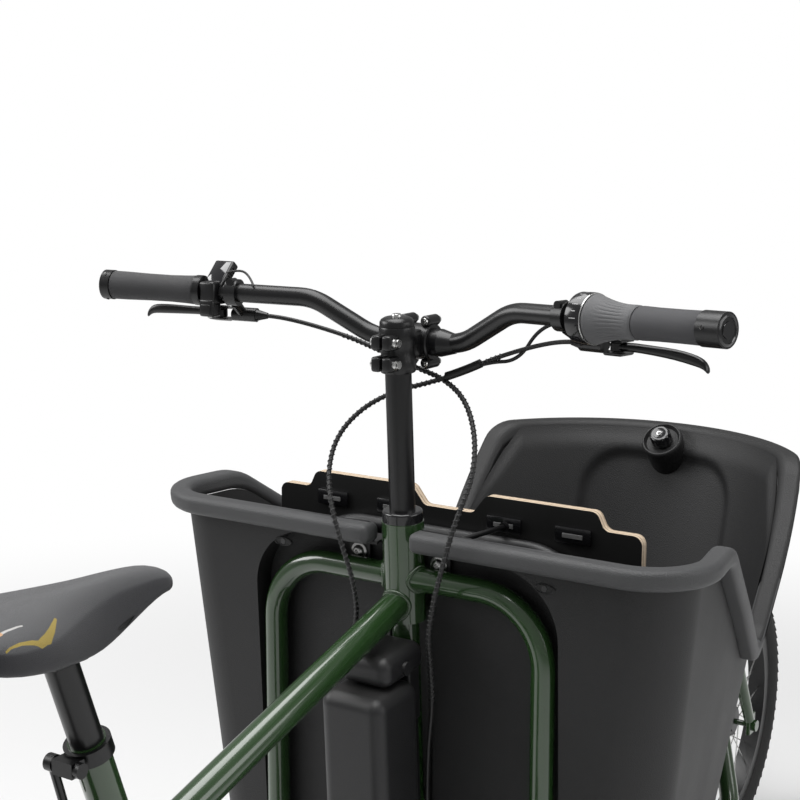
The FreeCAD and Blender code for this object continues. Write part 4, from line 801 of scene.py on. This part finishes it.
def bending_piece(mesh, name, material):
    mesh.name = name
    mesh.shade_smooth()
    mesh.materials.clear()
    mesh.materials.append(material)
    piece = bpy.data.objects.new(name, mesh)
    scene.collection.objects.link(piece)
    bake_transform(piece)
    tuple(BEND_LOW)
    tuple(BEND_HIGH)
    print(name, len(mesh.polygons), "faces")
    return piece


# %% Hoses and their spiral wraps
HOSE_RADIUS, WRAP_RADIUS, WRAP_PITCH, WRAP_TURN_POINTS = 0.0026, 0.0036, 0.0062, 10
wrap_black = finish("wrap_band", (0.022, 0.022, 0.023), 0.38, bump=0.1, drift=0.15, dust=0.02)
for name, route in (("left", LEFT_ROUTE), ("right", RIGHT_ROUTE)):
    tube = as_mesh(smooth_line("hose_" + name, route, HOSE_RADIUS), "hose_" + name)
    bending_piece(tube, "hose_" + name, hose_black)
    line = line_points(route)
    travelled, turns = 0.0, []
    side = None
    for a, b in zip(line, line[1:]):
        step = b - a
        tangent = step.normalized()
        side = (tangent.cross(X) if side is None else side - tangent * side.dot(tangent)).normalized()
        across = tangent.cross(side)
        pieces = max(1, int(step.length / (WRAP_PITCH / WRAP_TURN_POINTS)))
        for k in range(pieces):
            s = travelled + step.length * k / pieces
            angle = 2 * pi * s / WRAP_PITCH
            centre = a + step * (k / pieces)
            if 0.10 < s < 0.68:
                turns.append(centre + (side * cos(angle) + across * sin(angle)) * (WRAP_RADIUS - 0.0008))
        travelled += step.length
    coil = smooth_line("wrap_" + name, turns, 0.0010, order=3)
    coil.data.resolution_u = 1
    coil.data.bevel_resolution = 0
    bending_piece(as_mesh(coil, "wrap_" + name), "hose_wrap_" + name, wrap_black)
    print("hose", name, "length", round(travelled, 3))
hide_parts("brake_hoses")

# %% [markdown]
# Rolled rim.  The tub's rim is a fat rolled edge, so the plain band is copied, its loose
# triangles are merged into faces, and a bevel rounds every sharp edge.

# %% Rounded rim of the tub
bm = bmesh.new()
bm.from_mesh(frame["nodes"]["box_lip"].data)
bmesh.ops.remove_doubles(bm, verts=bm.verts, dist=1e-5)
bmesh.ops.dissolve_limit(bm, angle_limit=radians(1.5), verts=bm.verts, edges=bm.edges)
rim = finish_piece(bm, "rolled_rim", "frame", lip_grey, crease=180.0)
rim.data.materials.clear()
rim.data.materials.append(lip_grey)
rim.data.materials.append(charcoal)
# Painted shade: the rim's nose end, more than 0.49 m ahead of the column, takes the tub's darker charcoal, although the
# whole rim is one moulding with one finish.
for polygon in rim.data.polygons:
    polygon.material_index = 1 if polygon.center.x > COLUMN_TOP.x + 0.49 else 0
soften = rim.modifiers.new("soften", "BEVEL")
soften.width = 8.5 * MM
soften.segments = 4
soften.limit_method = "ANGLE"
soften.angle_limit = radians(50)
soften.use_clamp_overlap = False
even = rim.modifiers.new("even", "WEIGHTED_NORMAL")
even.keep_sharp = False
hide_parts("box_lip")

# %% [markdown]
# Moulded front wall.  Inside the nose the wall has a raised border round a flat panel.  A
# plain grid is bent to the wall: its first direction goes round the nose, its second goes up,
# and a smooth step presses the panel back from the border.

# %% Inner panel of the nose
FLOOR_Z, RIM_Z, WALL = 0.300, 0.845, 0.005
PANEL_HALF, PANEL_TOP, PANEL_LOW, PANEL_CORNER, PANEL_STEP = 0.128, 0.786, 0.345, 0.060, 0.0085


def nose_place(turn, z, inward):
    share = (z - FLOOR_Z) / (RIM_Z - FLOOR_Z)
    radius = 0.200 + 0.068 * share - WALL - inward
    middle = COLUMN_TOP.x + 0.450 + 0.082 * share
    return Vector((middle + radius * cos(turn), radius * sin(turn), z)), radius


def smooth_step(value):
    value = max(0.0, min(1.0, value))
    return value * value * (3 - 2 * value)


NOSE_TURN, NOSE_LOW, NOSE_HIGH = radians(80), 0.307, 0.8235
VALLEY_AHEAD, VALLEY_Z, VALLEY_SLOPE, RIM_BAND = 0.488, 0.600, 1.31, 0.032
bm = bmesh.new()
grid = bmesh.ops.create_grid(bm, x_segments=120, y_segments=72, size=1.0)["verts"]
for v in grid:
    turn = v.co.x * NOSE_TURN
    along_side = nose_place(turn, NOSE_HIGH, 0.0)[0].x - COLUMN_TOP.x
    top = min(NOSE_HIGH, VALLEY_Z + VALLEY_SLOPE * (along_side - VALLEY_AHEAD) - RIM_BAND)
    z = NOSE_LOW + (top - NOSE_LOW) * (v.co.y + 1) / 2
    flat, radius = nose_place(turn, z, 0.0)
    out_x = abs(radius * turn) - (PANEL_HALF - PANEL_CORNER)
    middle_z, half_z = (PANEL_TOP + PANEL_LOW) / 2, (PANEL_TOP - PANEL_LOW) / 2
    out_z = abs(z - middle_z) - (half_z - PANEL_CORNER)
    corner = sqrt(max(out_x, 0) ** 2 + max(out_z, 0) ** 2) + min(max(out_x, out_z), 0) - PANEL_CORNER
    lift = 0.0012 + PANEL_STEP * smooth_step(corner / 0.020 + 0.5)
    edge = min(smooth_step((NOSE_TURN - abs(turn)) / radians(22)), smooth_step((top - z) / 0.030))
    v.co = nose_place(turn, z, 0.0013 + (lift - 0.0013) * edge)[0]
bmesh.ops.reverse_faces(bm, faces=bm.faces)
mesh = bpy.data.meshes.new("nose_panel")
bm.to_mesh(mesh)
bm.free()
mesh.shade_smooth()
mesh.materials.append(charcoal)
nose_panel = bpy.data.objects.new("nose_panel", mesh)
scene.collection.objects.link(nose_panel)
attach(nose_panel, "frame")
print("nose panel", len(mesh.polygons), "faces")

# %% [markdown]
# Knob.  A twist knob sits in a round cup at the top of the front wall.  The cup is turned with
# a thick rounded lip; the knob has finger flutes, a recessed top and a small steel ring.

# %% Knob and cup
KNOB_AT, KNOB_OUT = joint_place("knob_turn"), -joint_axis("knob_turn")
turned("knob_cup", [(-14, 30.4), (-4, 31.4), (3, 31.8), (6, 31.2), (7.5, 29.8), (7.4, 28.2), (4, 26.6), (1.2, 25),
                    (0.4, 22), (0.4, 7)], KNOB_AT, KNOB_OUT, "frame", charcoal, steps=64)
bm = bmesh.new()
spin_profile(bm, [(3, 7), (3, 15.5), (5, 16.8), (13, 16.8), (18, 16.0), (21.4, 14.4), (22.4, 12.4), (22, 9.6), (21.2, 8),
                  (21.2, 0)], steps=120)
for v in bm.verts:
    if 4 * MM < v.co.z < 21 * MM and v.co.xy.length > 12 * MM:
        v.co.xy -= v.co.xy.normalized() * (0.5 + 0.5 * cos(10 * atan2(v.co.y, v.co.x))) ** 2 * 1.5 * MM
bmesh.ops.transform(bm, matrix=along_axis(KNOB_AT, KNOB_OUT), verts=bm.verts)
knob = finish_piece(bm, "twist_knob", "wall_knob", gloss_black, 40.0)
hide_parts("knob")
turned("knob_ring", [(21.2, 2.6), (22.0, 2.8), (22.2, 3.8), (21.2, 4.2)], KNOB_AT, KNOB_OUT, "wall_knob", bright_steel,
       steps=24)

# %% [markdown]
# Weld beads.  A brazed or welded joint is a row of small overlapping coins of metal round the
# tube.  Each coin's place is found by walking out from a point on the branch tube's skin until it
# meets the main tube's skin, and a small sphere is put there.

# %% Weld beads at the frame joints
def meeting_points(branch, along, branch_r, trunk, trunk_along, trunk_r, count):
    """Points where a branch tube's skin meets a trunk tube's skin, walking along the branch."""
    side = along.orthogonal().normalized()
    across = along.cross(side)
    for k in range(count):
        start = branch + (side * cos(2 * pi * k / count) + across * sin(2 * pi * k / count)) * branch_r
        gap = start - trunk
        gap_flat = gap - trunk_along * gap.dot(trunk_along)
        way_flat = along - trunk_along * along.dot(trunk_along)
        a, b, c = way_flat.dot(way_flat), 2 * gap_flat.dot(way_flat), gap_flat.dot(gap_flat) - trunk_r ** 2
        inside = b * b - 4 * a * c
        if inside >= 0:
            yield start + along * ((-b - sqrt(inside)) / (2 * a))


def weld_bead(name, branch, along, branch_r, trunk, trunk_along, trunk_r, bead=0.0030, body="frame"):
    bm = bmesh.new()
    count = int(2 * pi * branch_r / (bead * 0.62))
    for at in meeting_points(branch, along, branch_r, trunk, trunk_along, trunk_r, count):
        coin = bmesh.ops.create_icosphere(bm, subdivisions=2, radius=bead)["verts"]
        bmesh.ops.translate(bm, vec=at, verts=coin)
    mesh = bpy.data.meshes.new(name)
    bm.to_mesh(mesh)
    bm.free()
    mesh.shade_smooth()
    mesh.materials.append(green)
    piece = bpy.data.objects.new(name, mesh)
    scene.collection.objects.link(piece)
    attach(piece, body)
    return piece


HEAD_R, MAIN_R, HOOP_R, SEAT_R = 0.0245, 0.017, 0.014, 0.0175
main_low, main_high = [Vector(corner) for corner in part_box("main_tube")]
hoop_high = Vector(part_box("cargo_hoop")[1])
MAIN_SLOPE = radians(16.0)
main_along = Vector((cos(MAIN_SLOPE), 0, sin(MAIN_SLOPE)))
main_front = Vector((COLUMN_TOP.x + 0.012, 0, 0.756))
column_down = -COLUMN_UP
weld_bead("weld_main_tube", main_front - main_along * 0.12, main_along, MAIN_R, COLUMN_TOP, COLUMN_UP, HEAD_R)
for side, name in ((1, "left"), (-1, "right")):
    weld_bead("weld_hoop_" + name, Vector((COLUMN_TOP.x + 0.012, side * 0.1, 0.782)), Vector((0, -side, 0)), HOOP_R,
              COLUMN_TOP, COLUMN_UP, HEAD_R)
seat_angle = joint_axis("seat_height")
seat_at = Vector((main_low.x, 0, 0)) + Vector((0, 0, main_low.z + MAIN_R))
bb = joint_place("crank_spin")
weld_bead("weld_seat_tube", main_front - main_along * 0.2, -main_along, MAIN_R, bb, seat_angle, SEAT_R)
print("welds made")

# %% [markdown]
# Fixings on the back wall.  Black steel plates tie the tub to the hoop, each with a plated
# button-head bolt on a washer.  The socket is a round recess turned into the bolt's head.

# %% Plates and bolts
PLATE_X = COLUMN_TOP.x + 0.030 - 0.0035
fixings = []
bm = bmesh.new()
PLATES = (("right", -42.0), ("left", 68.0))
for name, y in PLATES:
    bevelled_box(bm, (PLATE_X / MM - 2.5, y - 15, 774), (PLATE_X / MM + 2.5, y + 15, 818), 1.2,
                 Matrix.Identity(4), 2)
plates = finish_piece(bm, "tub_plates", "frame", powder_black)
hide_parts("box_fixings")
for name, y in PLATES:
    at = Vector((PLATE_X - 2.5 * MM, y * MM, 0.799))
    turned("tub_washer_" + name, [(0, 3), (0, 10.4), (0.4, 11), (1.6, 11), (2.0, 10.4), (2.0, 3)], at, -X, "frame",
           bright_steel)
    bm = bmesh.new()
    socket_r = 2.9
    spin_profile(bm, [(2, 7.6), (3.2, 7.4), (5.2, 6.0), (6.4, 4.2), (6.6, socket_r), (3.6, socket_r - 0.1), (3.6, 0)],
                 steps=30)
    bmesh.ops.transform(bm, matrix=along_axis(at, -X), verts=bm.verts)
    finish_piece(bm, "tub_bolt_" + name, "frame", bright_steel)

# %% [markdown]
# Tyre treads.  A tyre's blocks repeat round the wheel: one short row is made, then spun with
# copies.  Each block is a squashed cube sunk half into the carcass.

# %% Tread rows
def tread(name, axle, radius, body, count):
    bm = bmesh.new()
    for offset, lean, width in ((-17, -14, 8), (-6.5, 0, 9), (6.5, 0, 9), (17, 14, 8)):
        verts = bmesh.ops.create_cube(bm, size=1.0)["verts"]
        bmesh.ops.scale(bm, vec=(0.0150, width * MM, 0.0032), verts=verts)
        drop = 25.0 - sqrt(25.0 ** 2 - offset ** 2)
        tilt = Matrix.Rotation(-atan2(offset, 25.0), 4, "X")
        tilt = tilt @ Matrix.Rotation(radians(lean), 4, "Z")
        shift = Matrix.Translation((abs(offset) % 10 * MM, offset * MM, radius - (drop + 0.6) * MM))
        bmesh.ops.transform(bm, matrix=shift @ tilt, verts=verts)
    bmesh.ops.translate(bm, vec=axle, verts=bm.verts)
    bmesh.ops.spin(bm, geom=bm.verts[:] + bm.edges[:] + bm.faces[:], cent=axle, axis=Y, angle=2 * pi * (count - 1) / count,
                   steps=count - 1, use_merge=False, use_duplicate=True)
    return finish_piece(bm, name, body, tyre_black, 30.0)


tread("rear_tread", REAR_AXLE, REAR_AXLE.z, "rear_wheel", 108)
tread("front_tread", FRONT_AXLE, FRONT_AXLE.z, "front_wheel", 82)

# %% [markdown]
# Stem.  A quill-like stem clamps the column with two separate bolted lugs, carries a domed cap
# with one bolt, and holds the bar in a split clamp ahead of it.  The clamp's four bosses each
# take a plated bolt.

# %% Stem body, cap and bolts
bm = bmesh.new()
COLUMN_DOWN = -COLUMN_UP
stem_turn = along_axis(COLUMN_TOP, COLUMN_DOWN)
spin_profile(bm, [(6, 15.2), (6, 19.4), (8, 20.4), (24, 20.4), (28, 19.0), (38, 19.0), (42, 20.4), (56, 20.4),
                  (58, 19.4), (58, 15.2)], 48)
bmesh.ops.transform(bm, matrix=stem_turn, verts=bm.verts)
level = Matrix.Translation(Vector((COLUMN_TOP.x, 0, 0)))
for z in (1058, 1034):
    bevelled_box(bm, (-34, -13, z - 8.5), (-12, -1.2, z + 8.5), 3.2, level)
    bevelled_box(bm, (-34, 1.2, z - 8.5), (-12, 13, z + 8.5), 3.2, level)
bevelled_box(bm, (6, -16, 1036), (36, 16, 1068), 6.0, level)
stem_body = finish_piece(bm, "stem_body", "steering", satin_black)
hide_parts("stem")
BAR_MIDDLE = Vector((COLUMN_TOP.x + 0.045, 0, 1.052))
turned("stem_clamp", [(-22, 15.9), (-22, 19.4), (-20.5, 20.8), (20.5, 20.8), (22, 19.4), (22, 15.9)], BAR_MIDDLE, Y,
       "steering", satin_black, steps=64)
turned("stem_cap", [(-4.5, 0), (-4.5, 9), (-4, 14), (-2, 17.6), (1, 19.4), (5.6, 19.6), (5.6, 15.2)], COLUMN_TOP,
       COLUMN_DOWN, "steering", satin_black)
turned("stem_cap_bolt", [(-5.4, 0), (-5.4, 2.4), (-7.6, 2.6), (-7.8, 4.4), (-6.6, 5.4), (-4.4, 5.6)], COLUMN_TOP,
       COLUMN_DOWN, "steering", bright_steel, steps=24)
for y, side in ((-15, "right"), (15, "left")):
    for z, row in ((-24, "low"), (24, "high")):
        boss = BAR_MIDDLE + Vector((0, y, z)) * MM
        turned("stem_boss_" + row + "_" + side, [(-10, 0), (-10, 5.4), (-8.6, 6.6), (13, 6.6), (14.2, 5.4), (14.2, 0)],
               boss, X, "steering", satin_black, steps=24)
        turned("stem_bolt_" + row + "_" + side, [(-13.6, 0), (-13.6, 2.2), (-12.6, 2.4), (-12.6, 3.8), (-11, 4.6),
                                                 (-9.8, 4.6)], boss, X, "steering", bright_steel, steps=20)
for z in (1058, 1034):
    for side, name in ((-1, "right"), (1, "left")):
        turned("pinch_bolt_%s_%d" % (name, z), [(12.6, 5.0), (15.4, 5.0), (16.6, 3.8), (16.8, 2.2), (15, 2.0), (15, 0)],
               Vector((COLUMN_TOP.x - 0.0255, 0, z * MM)), Y * side, "steering", bright_steel, steps=20)

# %% [markdown]
# Brake levers.  A blade is an oval that starts thick at its pivot, flattens where the fingers
# lie, and ends in a curl.  Stations are given along, ahead of and above the pivot.

# %% Lever blades and pivots
def lever_blade(side_name, inward, side, ahead_by, rise):
    pivot = joint_place("brake_" + side_name)
    outward, forward = -inward, Vector((-side * inward.y, side * inward.x, 0)).normalized()
    shape = [(-7, 0, 0, 4, 3.6), (3, 0.5, 0, 7.6, 4.8), (20, 0.3 * ahead_by, 0.5, 6.0, 4.8),
             (45, 0.5 * ahead_by, 0.15 * rise, 4.6, 5.0), (70, 0.66 * ahead_by, 0.35 * rise, 4.0, 5.8),
             (90, 0.85 * ahead_by, 0.8 * rise, 3.8, 6.0), (100, ahead_by, rise - 1, 3.8, 5.4),
             (105, ahead_by + 1, rise - 4, 4.0, 4.8), (108, ahead_by + 1, rise - 8, 3.8, 3.4),
             (108.6, ahead_by + 1, rise - 10, 2.2, 1.6)]
    stations = [(pivot + (outward * a + forward * b + Z * c) * MM, forward, hf * MM, Z, hz * MM)
                for a, b, c, hf, hz in shape]
    body = "lever_" + side_name
    blade = ring_stations("lever_blade_" + side_name, stations, body, satin_black, sides=16,
                          square=2.4, crease=60.0)
    smooth = blade.modifiers.new("smooth", "SUBSURF")
    smooth.levels = smooth.render_levels = 1
    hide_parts("brake_lever_" + side_name)
    turned("lever_eye_" + side_name, [(-5, 0), (-5, 7), (-4, 8), (4, 8), (5, 7), (5, 0)], pivot, Z, body, satin_black,
           steps=28)
    turned("lever_pin_" + side_name, [(8.6, 0), (9.2, 0), (9.2, 2.4), (8.8, 3.4), (7.8, 3.6)], pivot, Z, body,
           bright_steel, steps=16)


lever_blade("left", LEFT_IN, 1, 15, -2)
lever_blade("right", RIGHT_IN, -1, 6, -8)

# %% [markdown]
# Small lines at the bar.  The shifter's cable joins the brake hose under a short sleeve,
# and the display's lead loops back to the bar.

# %% Shift cable, sleeve and display lead
def bar_line(name, route, radius):
    mesh = as_mesh(smooth_line(name, route, radius), name)
    mesh.shade_smooth()
    mesh.materials.clear()
    mesh.materials.append(hose_black)
    piece = bpy.data.objects.new(name, mesh)
    scene.collection.objects.link(piece)
    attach(piece, "steering")
    return piece


cable_exit = RIGHT_END + RIGHT_IN * 172 * MM + Vector((38, 52, -12)) * MM
bar_line("shift_cable", [cable_exit, cable_exit + Vector((8, 26, -6)) * MM, ahead_of_column(64, -120, 1036),
                         ahead_of_column(56, -84, 1033), ahead_of_column(54, -60, 1023)], 0.0021)
bar_line("cable_sleeve", [ahead_of_column(56.5, -76, 1031), ahead_of_column(54, -56, 1021),
                          ahead_of_column(52, -34, 1013)], 0.0052)
bar_line("display_lead", [display_at + Vector(p) * MM for p in ((6, -12, 22), (14, -26, 27), (13, -42, 19), (4, -54, 9))],
         0.0014)

# %% [markdown]
# Belt slots, struts and wall slots.  Grey webbing passes through a rounded plate at each slot
# in the backrest, a thin strut ties the bench loop to the back wall, and an oval slot is moulded
# into the wall on each side.

# %% Webbing, strut and oval slots
webbing = finish("grey_webbing", (0.13, 0.13, 0.13), 0.8, grain=(2200.0, 1.0), bump=0.5, drift=0.1, dust=0.0)
plate_low, plate_high = [Vector(corner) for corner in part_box("belt_brackets")]
bm = bmesh.new()
for y in (-168, -78, 78, 168):
    bevelled_box(bm, (plate_low.x / MM - 2.2, y - 23, 822.5), (plate_low.x / MM + 1.5, y + 23, 841.5), 1.6,
                 Matrix.Identity(4), 2)
bracket_piece = finish_piece(bm, "belt_plates", "frame", gloss_black)
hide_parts("belt_brackets")
bm = bmesh.new()
for y in (-168, -78, 78, 168):
    bevelled_box(bm, (plate_low.x / MM - 3.2, y - 13, 829), (plate_low.x / MM + 10, y + 13, 834.6), 0.6,
                 Matrix.Identity(4), 1)
finish_piece(bm, "belt_webbing", "frame", webbing)
turned("bench_strut", [(0, 0), (0, 3.2), (92, 3.2), (92, 5.4), (98, 5.4), (98, 0)], ahead_of_column(5, -82, 839),
       Vector((94, -2, -6)).normalized(), "frame", satin_black, steps=20)
for name, y in (("right", -190.0), ("left", 162.5)):
    bm = bmesh.new()
    spin_profile(bm, [(0.4, 0), (0.4, 10.0), (1.4, 11.4), (0.9, 12.8), (-1, 13.2)], 40)
    bmesh.ops.scale(bm, vec=(0.42, 1, 1), verts=bm.verts)
    wall_at = ahead_of_column(-0.3, y, 802)
    bmesh.ops.transform(bm, matrix=Matrix.Translation(wall_at) @ Matrix.Rotation(radians(-90), 4, "Y"), verts=bm.verts)
    finish_piece(bm, "wall_slot_" + name, "frame", charcoal)
    turned("wall_slot_fill_" + name, [(0.8, 0), (0.8, 3.4), (0.2, 3.6)], wall_at + Vector((0, 0, 0)), -X, "frame",
           gloss_black, steps=20)
